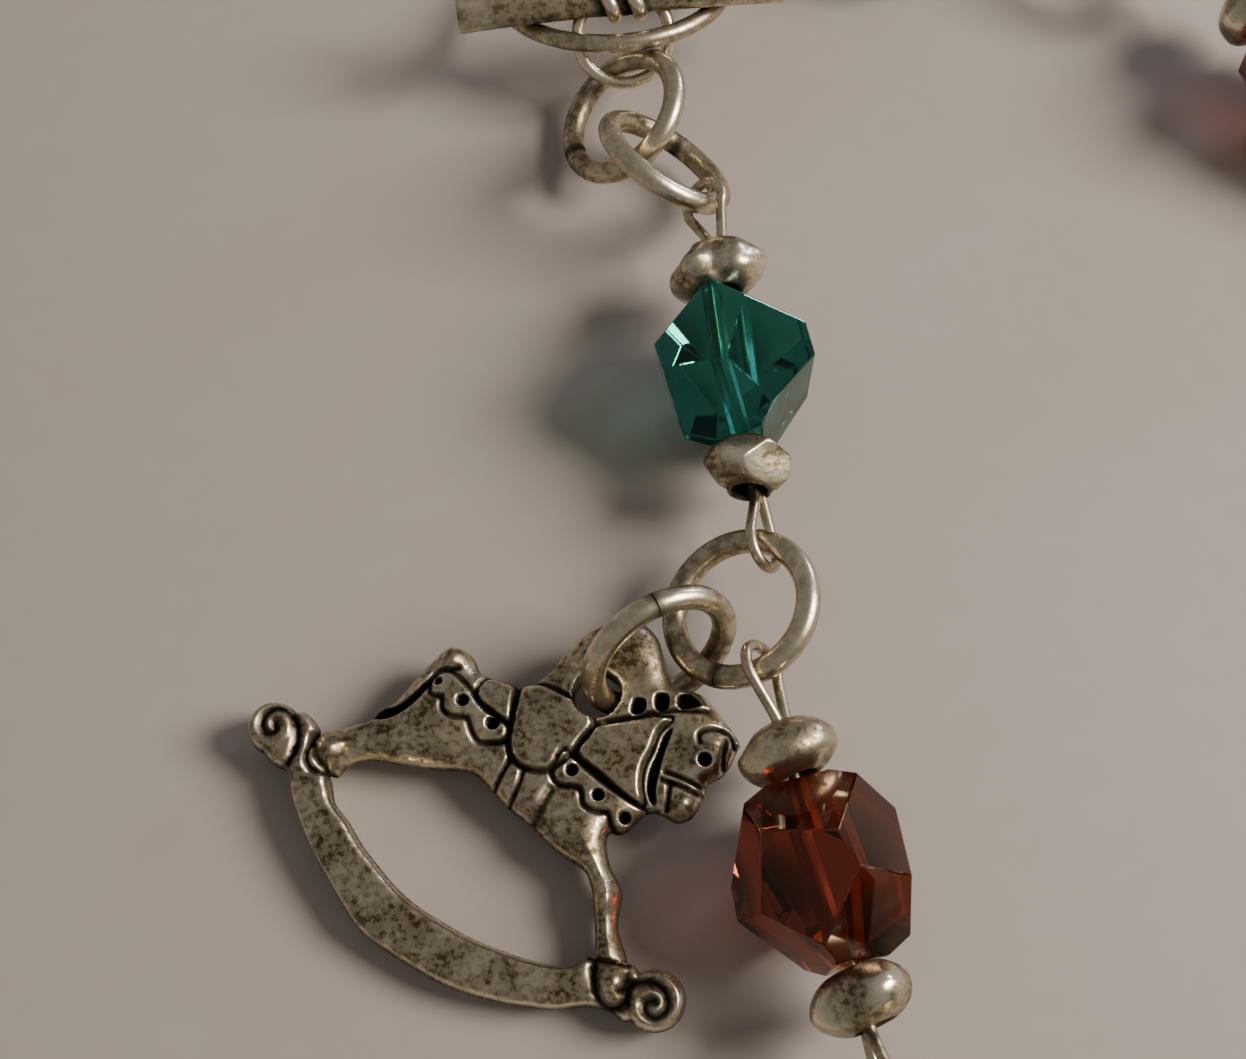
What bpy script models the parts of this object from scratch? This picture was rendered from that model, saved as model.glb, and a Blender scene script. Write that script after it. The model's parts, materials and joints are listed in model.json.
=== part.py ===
"""Charm bracelet: seven bead links on jump rings, a toggle clasp and a rocking horse charm.

The bracelet lies on the plane z = 0 as one closed loop. Lengths are in metres.
"""
import math

import bmesh
import bpy
from mathutils import Matrix, Vector

MM = 0.001

# Bead links
LINK_LENGTH = 21.2 * MM        # between the two joints of a link
LINK_WIRE = 0.55 * MM          # wire diameter
LOOP_RADIUS = 1.2 * MM         # centreline radius of a link's round loop end
BEAD_WIDTH = 8.0 * MM
BEAD_LENGTH = 8.5 * MM
BEAD_BORE = 1.1 * MM
CAP_WIDTH = 4.6 * MM
CAP_THICKNESS = 2.7 * MM
CAP_BORE = 2.2 * MM
STACK_GAP = 0.12 * MM          # between a bead and its caps

# Jump rings
RING_WIDTH = 8.2 * MM          # outer diameter
RING_WIRE = 1.2 * MM
JOINT_GAP = 0.25 * MM          # between two wires that hang in each other

# Toggle clasp
BAR_LENGTH = 18.0 * MM
BAR_WIDTH = 1.6 * MM           # at the slim part of each arm
BAR_END_WIDTH = 1.9 * MM
COLLAR_WIRE = 0.8 * MM         # the two slanting collars at the middle
STEM_WIRE = 0.7 * MM
STEM_LOOP_WIDTH = 5.1 * MM     # centreline
STEM_LENGTH = 4.45 * MM        # bar centre to the far centreline of the stem loop
TOGGLE_WIDTH = 13.6 * MM       # outer diameter of the toggle ring
TOGGLE_WIRE = 1.0 * MM
TOGGLE_GAP = 0.08 * MM         # between the toggle ring and the bar that rests in it
TOGGLE_LEAN = 22.0             # degrees that the toggle ring leans up on the stem
STEM_DROP = 43.0               # degrees that the stem slopes down from the bar
BAR_TURN = 7.0                 # degrees that the bar lies off the X axis
TOGGLE_EXIT = 48.0             # degrees east of the ring's far side where the chain goes on

# Rocking horse charm
HORSE_LENGTH = 24.2 * MM
HORSE_HEIGHT = 18.4 * MM
HORSE_THICKNESS = 2.0 * MM
RELIEF = 0.35 * MM             # each raised layer stands this far above the one below
BAIL_BORE = 2.3 * MM
BAIL_PLAY = 0.2 * MM           # between the charm ring and the bail that hangs on it
HANG_ANGLE = 198.0             # degrees round the charm ring to the bail
HORSE_TURN = -35.8             # degrees from the X axis to the rocker
HORSE_SLOPE = 5.7              # degrees that the bail side lies higher
BAIL_HOLE = (3.4, 55.5)        # percent of the charm's length and height
BAIL_REST = (5.2, 56.5)        # where the charm ring's wire passes the bail, the same way

# Charm ring: its axis, the way to its first point, and its centre in millimetres from the
# third jump ring's centre, which keeps the horse clear of the cap beside it.
CHARM_RING_AXIS = (0.449, -0.841, 0.302)
CHARM_RING_START = (0.866, 0.453, 0.211)
CHARM_RING_OFFSET = (-3.91, -2.38, 0.34)

# Height of the beads' axis above the surface
AXIS_HEIGHT = 4.15 * MM

# The chosen points of the chain's route, in mm, from the stem loop round to the toggle ring.
# Those marked True lie on the hidden side and are moved out or in until the loop closes.
ROUTE = [
    (-0.1, 28.7, False),
    (1.4, 22.9, False),
    (4.1, 19.5, False),
    (6.6, -1.4, False),
    (6.1, -6.5, False),
    (11.4, -27.1, False),
    (15.5, -30.6, True),
    (36.6, -32.5, True),
    (41.7, -30.1, True),
    (53.3, -12.3, True),
    (54.0, -6.7, True),
    (47.4, 13.5, True),
    (44.8, 18.5, True),
    (32.8, 36.0, True),
    (28.0, 39.0, True),
    (7.0, 42.0, True),
]

# The jump rings in their order. span is the distance between a ring's two joints as a share of
# what it would be pulled straight. The ring's middle lies off the line of the chain by shares of
# its radius: run along it, out to its left, lift above it. tilt is how far the ring leans out of
# level, towards a heading in degrees left of the chain's direction.
RINGS = [
    {"span": 1.00, "run": -0.05, "out": -0.25, "lift": -0.19, "tilt": 36.2, "heading": -88.0},
    {"span": 0.77, "run": -0.20, "out": -0.07, "lift": -0.05, "tilt": 43.4, "heading": 92.0},
    {"span": 0.87, "run": 0.00, "out": -0.29, "lift": -0.15, "tilt": 27.0, "heading": -88.0},
    {"span": 0.97, "run": 0.01, "out": -0.15, "lift": -0.01, "tilt": -1.7, "heading": 119.0},
    {"span": 0.97, "run": -0.01, "out": -0.13, "lift": 0.02, "tilt": 6.3, "heading": 82.0},
    {"span": 0.97, "run": 0.00, "out": -0.13, "lift": -0.01, "tilt": -0.8, "heading": 86.0},
    {"span": 0.97, "run": 0.00, "out": -0.09, "lift": 0.00, "tilt": 4.4, "heading": 88.0},
    {"span": 0.97, "run": 0.00, "out": -0.03, "lift": 0.03, "tilt": 5.7, "heading": 90.0},
    {"span": 0.92, "run": 0.01, "out": 0.43, "lift": 0.43, "tilt": 90.8, "heading": 110.0},
]

# The bead links in their order. roll_a and roll_b turn the planes of the two loops, spin turns
# the bead about its bore.
LINKS = [
    {"glass": "green_glass", "roll_a": 44.0, "roll_b": -56.0, "spin": 68.0},
    {"glass": "red_glass", "roll_a": -50.0, "roll_b": -99.0, "spin": 118.0},
    {"glass": "green_glass", "roll_a": -87.0, "roll_b": -90.0, "spin": 70.0},
    {"glass": "red_glass", "roll_a": -86.0, "roll_b": -88.0, "spin": 15.0},
    {"glass": "green_glass", "roll_a": -83.0, "roll_b": -91.0, "spin": 50.0},
    {"glass": "red_glass", "roll_a": -85.0, "roll_b": -85.0, "spin": 90.0},
    {"glass": "green_glass", "roll_a": -92.0, "roll_b": -10.0, "spin": 25.0},
]

# Facets of a bead, each cut three times round. tilt is the facet's lean towards the far end,
# turn its place round the bore, reach its distance from the middle as a share of the half width.
FACETS = [
    {"tilt": 44.0, "turn": 58.0, "reach": 0.90},
    {"tilt": 9.0, "turn": 0.0, "reach": 0.88},
    {"tilt": -9.0, "turn": 48.0, "reach": 0.88},
    {"tilt": -44.0, "turn": 98.0, "reach": 0.90},
]

# Half section of a cap: place along the bore as a share of the half thickness, radius as a
# share of the outer radius.
CAP_SECTION = [
    {"along": 1.00, "radius": 0.66},
    {"along": 0.72, "radius": 0.90},
    {"along": 0.25, "radius": 1.00},
    {"along": -0.30, "radius": 0.97},
    {"along": -0.75, "radius": 0.86},
    {"along": -1.00, "radius": 0.62},
]

# Horse outlines, each point as percent of the charm's length and height. The rocker's two
# scroll centres lie on the line y = 0, x = 0 is midway between them.
BODY = [
    (-39.5, 1), (-38.0, 8), (-34, 12), (-30, 17), (-26, 28), (-20, 40), (-11, 43.5), (-6.5, 49),
    (-4.0, 58), (-3.4, 66), (0, 71.5), (5.5, 72.3), (10, 66), (10.2, 57.5), (14, 60.5),
    (17.5, 65), (22, 67), (27, 67.5), (32, 63.5), (34.8, 55.5), (33.5, 44), (29.5, 39),
    (24.5, 38.5), (22, 34.5), (22.8, 29.5), (21.2, 25), (25.5, 21), (28.5, 17), (31.5, 9.5),
    (36, 3.5), (36.5, -2.5), (33.0, -3.5), (30.5, 0.5), (26.5, 9.5), (20, 16.8), (13, 18),
    (6, 16.8), (0, 17), (-5, 18.6), (-10.5, 18.5), (-18.5, 12.5), (-25, 9), (-30, 3.5),
    (-33, -1.5), (-37, -4),
]
TAIL = [
    (-30.8, 16), (-30.5, 22), (-29.5, 28), (-29.3, 34), (-28.7, 39.5), (-26.5, 43.2),
    (-22.5, 43.5), (-18.8, 41.5), (-19.5, 38.5), (-23.0, 36.5), (-25.2, 30.5), (-27.0, 22.5),
]
SADDLE = [
    (-10.5, 38.5), (-4.5, 46.5), (4.5, 49.5), (8.8, 45.5), (8.0, 37.0), (1.5, 31.0),
    (-5.0, 30.2), (-10.0, 33.0),
]
BLANKET = [
    (-19.0, 40.0), (-12.2, 43.5), (-12.0, 36.5), (-11.5, 32.0), (-16.5, 32.5), (-19.5, 36.0),
]
NECK_SHEET = [
    (8.5, 37.0), (10.0, 45.0), (13.5, 49.5), (18.0, 51.5), (19.5, 45.0), (21.5, 38.0),
    (15.5, 34.5), (9.5, 33.5),
]
BRIDLE = [
    (23.0, 46.0), (30.0, 49.0), (30.5, 46.6), (23.5, 43.4),
]
GIRTH = [
    (-5.0, 29.0), (-0.5, 29.8), (1.3, 19.0), (-3.6, 20.5),
]

# Round details of the horse: place in percent as above, radius as a share of the rocker's
# front scroll, layers of relief above the plate, and whether a bore goes through.
ROUNDS = [
    {"x": 7.6, "y": 32.4, "radius": 0.60, "layers": 1.0, "bored": True},
    {"x": 14.8, "y": 31.2, "radius": 0.60, "layers": 1.0, "bored": True},
    {"x": 21.2, "y": 30.6, "radius": 0.60, "layers": 1.0, "bored": True},
    {"x": -23.6, "y": 33.5, "radius": 0.55, "layers": 1.0, "bored": True},
    {"x": -18.3, "y": 31.3, "radius": 0.60, "layers": 1.0, "bored": True},
    {"x": -11.5, "y": 29.2, "radius": 0.60, "layers": 0.6, "bored": False},
    {"x": 27.5, "y": 55.5, "radius": 0.42, "layers": 1.2, "bored": True},
    {"x": 30.3, "y": 43.2, "radius": 0.50, "layers": 0.8, "bored": False},
    {"x": 12.4, "y": 55.0, "radius": 0.40, "layers": 0.8, "bored": False},
    {"x": 15.4, "y": 57.6, "radius": 0.40, "layers": 0.8, "bored": False},
    {"x": 18.4, "y": 60.2, "radius": 0.40, "layers": 0.8, "bored": False},
]

# Hoof knuckles: place in percent, radius as a share of the front scroll
KNUCKLES = [
    {"x": -34.2, "y": 1.0, "radius": 0.72},
    {"x": -38.0, "y": -4.0, "radius": 0.62},
    {"x": 36.4, "y": -3.0, "radius": 0.66},
]

SCROLL_BACK = 1.10 * MM        # radius of the scroll behind the hind hoof
SCROLL_FRONT = 1.30 * MM       # radius of the scroll before the front hoof
SCROLL_PLACE = 0.45            # scroll centres, as a share of the charm's length
ROCKER_WIDTH = 2.3 * MM        # across the rocker at its middle
ROCKER_TIP = 1.3 * MM          # its width where it meets a scroll
ROCKER_DROP = 5.1 * MM         # from the scroll centres to the rocker's lowest edge

ring_mid = (RING_WIDTH - RING_WIRE) / 2
toggle_mid = (TOGGLE_WIDTH - TOGGLE_WIRE) / 2


def clear_scene():
    for obj in list(bpy.data.objects):
        bpy.data.objects.remove(obj, do_unlink=True)


def make_collection(name):
    collection = bpy.data.collections.new(name)
    bpy.context.scene.collection.children.link(collection)
    return collection


def make_material(name, colour, roughness, metallic, transmission=0.0):
    material = bpy.data.materials.new(name)
    material.use_nodes = True
    shader = material.node_tree.nodes["Principled BSDF"]
    shader.inputs["Base Color"].default_value = (*colour, 1.0)
    shader.inputs["Roughness"].default_value = roughness
    shader.inputs["Metallic"].default_value = metallic
    shader.inputs["Transmission Weight"].default_value = transmission
    material.diffuse_color = (*colour, 1.0)
    return material


def adopt(obj, name, collection, material, place=None):
    """Name an object, move it to its collection and set its material and place."""
    for owner in list(obj.users_collection):
        owner.objects.unlink(obj)
    collection.objects.link(obj)
    obj.name = name
    obj.data.name = name
    obj.data.materials.clear()
    obj.data.materials.append(material)
    if place is not None:
        obj.matrix_world = place
    return obj


def smooth(obj):
    obj.data.shade_smooth()
    obj.data.set_sharp_from_angle(angle=math.radians(40))


def frame_at(origin, along, side):
    """A placing matrix with X along one direction and Y near another."""
    x_axis = along.normalized()
    z_axis = x_axis.cross(side).normalized()
    y_axis = z_axis.cross(x_axis)
    matrix = Matrix((x_axis, y_axis, z_axis)).transposed().to_4x4()
    matrix.translation = origin
    return matrix


def rolled_side(along, roll):
    """The direction across the chain, level at roll 0 and upright at roll 90."""
    level = Vector((0, 0, 1)).cross(along).normalized()
    upright = along.cross(level).normalized()
    angle = math.radians(roll)
    return level * math.cos(angle) + upright * math.sin(angle)


def torus(name, mid_radius, wire, place, collection, material, segments=16):
    bpy.ops.mesh.primitive_torus_add(
        major_segments=segments, minor_segments=6, major_radius=mid_radius, minor_radius=wire / 2)
    ring = adopt(bpy.context.object, name, collection, material, place)
    smooth(ring)
    return ring


def tube(name, points, wire, collection, cyclic=False):
    """A wire along points, as a welded mesh object."""
    curve = bpy.data.curves.new(name, "CURVE")
    curve.dimensions = "3D"
    curve.bevel_depth = wire / 2
    curve.bevel_resolution = 1
    curve.use_fill_caps = True
    spline = curve.splines.new("POLY")
    spline.points.add(len(points) - 1)
    for knot, point in zip(spline.points, points):
        knot.co = (*point, 1.0)
    spline.use_cyclic_u = cyclic
    return mesh_from_curve(name, curve, collection)


def mesh_from_curve(name, curve, collection):
    """Turn a curve into a closed mesh object, its caps welded."""
    guide = bpy.data.objects.new(name + "_guide", curve)
    collection.objects.link(guide)
    depsgraph = bpy.context.evaluated_depsgraph_get()
    mesh = bpy.data.meshes.new_from_object(guide.evaluated_get(depsgraph))
    welded = bmesh.new()
    welded.from_mesh(mesh)
    bmesh.ops.remove_doubles(welded, verts=welded.verts, dist=0.000002)
    bmesh.ops.recalc_face_normals(welded, faces=welded.faces)
    welded.to_mesh(mesh)
    welded.free()
    bpy.data.objects.remove(guide, do_unlink=True)
    obj = bpy.data.objects.new(name, mesh)
    collection.objects.link(obj)
    return obj


def combine(base, tools, operation):
    """Apply Boolean steps to base and remove the tool objects."""
    for tool in tools:
        step = base.modifiers.new(operation.lower(), "BOOLEAN")
        step.operation = operation
        step.object = tool
    depsgraph = bpy.context.evaluated_depsgraph_get()
    mesh = bpy.data.meshes.new_from_object(base.evaluated_get(depsgraph))
    base.modifiers.clear()
    old_mesh = base.data
    base.data = mesh
    bpy.data.meshes.remove(old_mesh)
    for tool in tools:
        bpy.data.objects.remove(tool, do_unlink=True)
    return base


def cylinder(name, radius, height, place, collection, sides=10):
    bpy.ops.mesh.primitive_cylinder_add(vertices=sides, radius=radius, depth=height)
    obj = bpy.context.object
    for owner in list(obj.users_collection):
        owner.objects.unlink(obj)
    collection.objects.link(obj)
    obj.name = name
    obj.data.transform(place)
    return obj


def smooth_route(points):
    """A centripetal spline through points, as a fine polyline."""
    padded = [points[0] * 2 - points[1], *points, points[-1] * 2 - points[-2]]
    fine = []
    steps = 24
    for before, start, end, after in zip(padded, padded[1:], padded[2:], padded[3:]):
        knots = [0.0]
        for first, second in ((before, start), (start, end), (end, after)):
            knots.append(knots[-1] + math.sqrt((second - first).length))
        for step in range(steps):
            t = knots[1] + (knots[2] - knots[1]) * step / steps
            fine.append(spline_point((before, start, end, after), knots, t))
    fine.append(points[-1])
    return fine


def spline_point(corners, knots, t):
    """Barry and Goldman's pyramid for one point of the spline."""
    level = list(corners)
    for depth in (1, 2, 3):
        level = [
            level[i] * ((knots[hi] - t) / (knots[hi] - knots[lo]))
            + level[i + 1] * ((t - knots[lo]) / (knots[hi] - knots[lo]))
            for i, (lo, hi) in enumerate(span_of(depth))
        ]
    return level[0]


def span_of(depth):
    """Knot spans of one level of the pyramid."""
    if depth == 1:
        return [(0, 1), (1, 2), (2, 3)]
    if depth == 2:
        return [(0, 2), (1, 3)]
    return [(1, 2)]


def joint_reach(mid_radius, wire, other_wire):
    """From a ring's centre to the joint midway between its wire and the wire it holds."""
    return mid_radius - (wire / 2 + other_wire / 2 + JOINT_GAP) / 2


def ring_reaches(index):
    """The two joint distances of a jump ring: to the piece before it and the piece after it."""
    before = LINK_WIRE
    after = LINK_WIRE
    if index == 0:
        before = STEM_WIRE
        after = RING_WIRE
    if index == 1:
        before = RING_WIRE
    if index == len(RINGS) - 1:
        after = TOGGLE_WIRE
    return joint_reach(ring_mid, RING_WIRE, before), joint_reach(ring_mid, RING_WIRE, after)


def ring_chord(index):
    """Distance between the two joints of a jump ring."""
    return RINGS[index]["span"] * sum(ring_reaches(index))


def toggle_layout(stem_joint):
    """Places of the bar and the toggle ring, from the joint in the stem loop."""
    lean = math.radians(TOGGLE_LEAN)
    drop = math.radians(STEM_DROP)
    turn = Matrix.Rotation(math.radians(BAR_TURN), 3, "Z")
    bar_axis = turn @ Vector((1, 0, 0))
    stem_axis = turn @ Vector((0, -math.cos(drop), -math.sin(drop)))
    rim_axis = turn @ Vector((0, -math.cos(lean), math.sin(lean)))
    ring_normal = turn @ Vector((0, math.sin(lean), math.cos(lean)))

    wires_apart = (BAR_WIDTH + TOGGLE_WIRE) / 2 + TOGGLE_GAP
    side_sag = toggle_mid - math.sqrt(toggle_mid ** 2 - (STEM_LOOP_WIDTH / 2) ** 2)
    over_loop = (STEM_WIRE + TOGGLE_WIRE) / 2 + TOGGLE_GAP
    rim_run = side_sag + (over_loop + wires_apart * math.cos(lean + drop)) / math.sin(lean + drop)
    bar_height = (TOGGLE_WIRE / 2 + wires_apart * math.cos(lean) - rim_run * math.sin(lean)
                  + 2 * toggle_mid * math.sin(lean))

    stem_reach = STEM_LENGTH - (STEM_WIRE / 2 + RING_WIRE / 2 + JOINT_GAP) / 2
    joint = Vector((stem_joint.x, stem_joint.y, bar_height - stem_reach * math.sin(drop)))
    bar_centre = joint - stem_axis * stem_reach
    near_rim = bar_centre - ring_normal * wires_apart + rim_axis * rim_run
    ring_centre = near_rim - rim_axis * toggle_mid
    exit_angle = math.radians(TOGGLE_EXIT)
    exit_axis = bar_axis * math.sin(exit_angle) - rim_axis * math.cos(exit_angle)
    exit_joint = ring_centre + exit_axis * joint_reach(toggle_mid, TOGGLE_WIRE, RING_WIRE)
    return {
        "bar": frame_at(bar_centre, bar_axis, stem_axis),
        "ring": frame_at(ring_centre, bar_axis, rim_axis),
        "stem_joint": joint,
        "exit_joint": exit_joint,
    }


def walk(route, chords, heights):
    """Joints stepped along the route by straight chords, and how much of the route was used."""
    joints = [route[0]]
    index = 0
    for chord, height in zip(chords, heights):
        here = joints[-1]
        flat = Vector((here.x, here.y, 0))
        reach = math.sqrt(chord ** 2 - (height - here.z) ** 2)
        while index < len(route) - 1:
            ahead = Vector((route[index + 1].x, route[index + 1].y, 0))
            if (ahead - flat).length >= reach:
                break
            index += 1
        if index >= len(route) - 1:
            return joints, len(route)
        start = Vector((route[index].x, route[index].y, 0))
        end = Vector((route[index + 1].x, route[index + 1].y, 0))
        near, far = 0.0, 1.0
        for _ in range(40):
            middle = (near + far) / 2
            if (start.lerp(end, middle) - flat).length < reach:
                near = middle
            else:
                far = middle
        landing = start.lerp(end, near)
        joints.append(Vector((landing.x, landing.y, height)))
    return joints, index


def chain_joints(toggle):
    """Joints of the whole chain. The hidden side of the route moves until the loop closes."""
    order = ["ring", "ring"] + ["link", "ring"] * len(LINKS)
    chords = []
    rings_used = 0
    for kind in order:
        if kind == "ring":
            chords.append(ring_chord(rings_used))
            rings_used += 1
        else:
            chords.append(LINK_LENGTH)
    heights = [AXIS_HEIGHT] * (len(chords) - 1) + [toggle["exit_joint"].z]

    narrow, wide = 0.3, 3.0
    joints = []
    for _ in range(60):
        bulge = (narrow + wide) / 2
        guide = []
        for x, y, hidden in ROUTE:
            reach = x - ROUTE[0][0]
            guide.append(Vector((ROUTE[0][0] + reach * (bulge if hidden else 1.0), y, 0)) * MM)
        guide.append(Vector((toggle["exit_joint"].x, toggle["exit_joint"].y, 0)))
        route = smooth_route(guide)
        route[0] = toggle["stem_joint"]
        joints, used = walk(route, chords, heights)
        if used >= len(route) - 1:
            narrow = bulge
        else:
            wide = bulge
    joints = joints[:len(chords)] + [toggle["exit_joint"]]
    return order, joints


def jump_ring_place(index, start, end):
    """Place of a jump ring between its two joints, off the line and tilted as its row says."""
    row = RINGS[index]
    along = (end - start).normalized()
    left = rolled_side(along, 0)
    up = along.cross(left)
    centre = (start + end) / 2
    centre += (along * row["run"] + left * row["out"] + up * row["lift"]) * ring_mid
    tilt = math.radians(row["tilt"])
    heading = math.radians(row["heading"])
    towards = along * math.cos(heading) + left * math.sin(heading)
    normal = up * math.cos(tilt) + towards * math.sin(tilt)
    return frame_at(centre, left.cross(normal), normal.cross(left.cross(normal)))


def loop_points(face, tip, side):
    """One end of a link wire, from the leg tucked in the cap round the loop to the axis."""
    leg = LINK_WIRE + STACK_GAP
    middle = tip - LOOP_RADIUS
    points = [Vector((face - 0.4 * CAP_THICKNESS, 0, 0)) + side * leg]
    points.append(Vector((face + 0.25 * MM, 0, 0)) + side * leg)
    for step in range(9):
        angle = math.radians(144 - 36 * step)
        points.append(Vector((middle + LOOP_RADIUS * math.cos(angle), 0, 0))
                      + side * LOOP_RADIUS * math.sin(angle))
    points.append(Vector((face + 0.25 * MM, 0, 0)))
    points.append(Vector((face - 0.4 * CAP_THICKNESS, 0, 0)))
    return points


def link_wire_points(row):
    """Route of one wire with a teardrop loop at each end and its core on the axis."""
    face = BEAD_LENGTH / 2 + STACK_GAP + CAP_THICKNESS
    tip = (LINK_LENGTH + LINK_WIRE / 2 + RING_WIRE / 2 + JOINT_GAP) / 2
    points = []
    for roll, mirror in ((row["roll_a"], -1), (row["roll_b"], 1)):
        angle = math.radians(roll)
        side = Vector((0, math.cos(angle), math.sin(angle)))
        half = loop_points(face, tip, side)
        half = [Vector((point.x * mirror, point.y, point.z)) for point in half]
        points += half if mirror < 0 else half[::-1]
    return points


def make_link_wire(name, row, place, collection, material):
    """The wire of one bead link."""
    wire = tube(name, link_wire_points(row), LINK_WIRE, collection)
    adopt(wire, name, collection, material, place)
    smooth(wire)


def make_bead(name, row, place, collection, material):
    """A faceted crystal: a block cut down by its facet planes, then bored."""
    bpy.ops.mesh.primitive_cube_add(size=3 * max(BEAD_WIDTH, BEAD_LENGTH))
    bead = adopt(bpy.context.object, name, collection, material)
    cut = bmesh.new()
    cut.from_mesh(bead.data)
    planes = [(Vector((end, 0, 0)), BEAD_LENGTH / 2) for end in (-1, 1)]
    for facet in FACETS:
        tilt = math.radians(facet["tilt"])
        for third in range(3):
            turn = math.radians(facet["turn"] + 120 * third)
            normal = Vector((math.sin(tilt), math.cos(tilt) * math.cos(turn),
                             math.cos(tilt) * math.sin(turn)))
            planes.append((normal, facet["reach"] * BEAD_WIDTH / 2))
    for normal, reach in planes:
        geometry = cut.verts[:] + cut.edges[:] + cut.faces[:]
        bmesh.ops.bisect_plane(cut, geom=geometry, dist=0.000001, plane_co=normal * reach,
                               plane_no=normal, clear_outer=True)
        rim = [edge for edge in cut.edges if edge.is_boundary]
        bmesh.ops.contextual_create(cut, geom=rim)
    bmesh.ops.remove_doubles(cut, verts=cut.verts, dist=0.00001)
    bmesh.ops.recalc_face_normals(cut, faces=cut.faces)
    cut.to_mesh(bead.data)
    cut.free()
    bore = cylinder(name + "_bore", BEAD_BORE / 2, 2 * BEAD_LENGTH,
                    Matrix.Rotation(math.pi / 2, 4, "Y"), collection)
    combine(bead, [bore], "DIFFERENCE")
    bead.matrix_world = place @ Matrix.Rotation(math.radians(row["spin"]), 4, "X")


def make_cap(name, place, collection, material):
    """A drilled nugget turned about the link's axis."""
    mesh = bpy.data.meshes.new(name)
    section = bmesh.new()
    half = CAP_THICKNESS / 2
    outline = [(CAP_BORE / 2, half)]
    outline += [(row["radius"] * CAP_WIDTH / 2, row["along"] * half) for row in CAP_SECTION]
    outline += [(CAP_BORE / 2, -half)]
    corners = [section.verts.new((radius, 0, along)) for radius, along in outline]
    for corner, following in zip(corners, corners[1:] + corners[:1]):
        section.edges.new((corner, following))
    section.to_mesh(mesh)
    section.free()
    cap = bpy.data.objects.new(name, mesh)
    collection.objects.link(cap)
    turn = cap.modifiers.new("turn", "SCREW")
    turn.axis = "Z"
    turn.steps = 12
    turn.render_steps = 12
    turn.use_merge_vertices = True
    turn.merge_threshold = 0.000001
    adopt(cap, name, collection, material, place @ Matrix.Rotation(math.pi / 2, 4, "Y"))
    return cap


def stem_loop_points():
    """The oval of the stem loop, its near end sunk in the bar."""
    near_end = -0.15 * BAR_WIDTH
    half_length = (STEM_LENGTH - near_end) / 2
    loop = []
    for step in range(16):
        angle = math.tau * step / 16
        loop.append(Vector((STEM_LOOP_WIDTH / 2 * math.cos(angle),
                            near_end + half_length * (1 + math.sin(angle)), 0)))
    return loop


def make_toggle_bar(place, collection, material):
    """The cast bar: a turned shaft with flared ends, two collars and the stem loop."""
    sections = [
        (-1.0, BAR_END_WIDTH * 0.92), (-0.97, BAR_END_WIDTH), (-0.72, BAR_WIDTH * 1.03),
        (-0.4, BAR_WIDTH), (0.4, BAR_WIDTH), (0.72, BAR_WIDTH * 1.03), (0.97, BAR_END_WIDTH),
        (1.0, BAR_END_WIDTH * 0.92),
    ]
    shaft = bmesh.new()
    rings = []
    for share, width in sections:
        circle = []
        for side in range(12):
            angle = math.tau * (side + 0.5) / 12
            circle.append(shaft.verts.new((share * BAR_LENGTH / 2, width / 2 * math.cos(angle),
                                           width / 2 * math.sin(angle))))
        rings.append(circle)
    for ring, following in zip(rings, rings[1:]):
        for side in range(12):
            after = (side + 1) % 12
            shaft.faces.new((ring[side], ring[after], following[after], following[side]))
    shaft.faces.new(rings[0])
    shaft.faces.new(rings[-1])
    bmesh.ops.recalc_face_normals(shaft, faces=shaft.faces)
    mesh = bpy.data.meshes.new("toggle_bar")
    shaft.to_mesh(mesh)
    shaft.free()
    bar = bpy.data.objects.new("toggle_bar", mesh)
    collection.objects.link(bar)

    tools = []
    for side in (-1, 1):
        lean = Matrix.Rotation(math.radians(90 + 14 * side), 4, "Y")
        shift = Matrix.Translation((side * 0.85 * COLLAR_WIRE, 0, 0))
        bpy.ops.mesh.primitive_torus_add(major_segments=12, minor_segments=6,
                                         major_radius=BAR_WIDTH / 2, minor_radius=COLLAR_WIRE / 2)
        collar = adopt(bpy.context.object, "collar", collection, material)
        collar.data.transform(shift @ lean)
        tools.append(collar)

    tools.append(tube("stem_loop", stem_loop_points(), STEM_WIRE, collection, cyclic=True))
    combine(bar, tools, "UNION")
    adopt(bar, "toggle_bar", collection, material, place)
    smooth(bar)


def horse_point(x, y):
    return Vector((x / 100 * HORSE_LENGTH, y / 100 * HORSE_HEIGHT, 0))


def plate(name, outline, thickness, rounding, collection, steps=2):
    """A flat cast form with rounded edges from a smooth outline."""
    curve = bpy.data.curves.new(name, "CURVE")
    curve.dimensions = "2D"
    curve.fill_mode = "BOTH"
    curve.resolution_u = steps
    curve.extrude = thickness / 2 - rounding
    curve.bevel_depth = rounding
    curve.bevel_resolution = 0
    curve.offset = -rounding
    spline = curve.splines.new("BEZIER")
    spline.bezier_points.add(len(outline) - 1)
    for knot, point in zip(spline.bezier_points, outline):
        knot.co = point
        knot.handle_left_type = "AUTO"
        knot.handle_right_type = "AUTO"
    spline.use_cyclic_u = True
    return mesh_from_curve(name, curve, collection)


def rocker_outline():
    """The crescent between the scrolls, widest at its middle."""
    half_run = SCROLL_PLACE * HORSE_LENGTH
    drop = ROCKER_DROP - ROCKER_WIDTH / 2
    radius = (half_run ** 2 + drop ** 2) / (2 * drop)
    half_angle = math.asin(half_run / radius)
    outer = []
    inner = []
    for step in range(9):
        share = step / 4 - 1
        width = ROCKER_TIP + (ROCKER_WIDTH - ROCKER_TIP) * (1 - share ** 2)
        spoke = Vector((math.sin(share * half_angle), -math.cos(share * half_angle), 0))
        middle = Vector((0, radius - drop, 0))
        outer.append(middle + spoke * (radius + width / 2))
        inner.append(middle + spoke * (radius - width / 2))
    return outer + inner[::-1]


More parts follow.
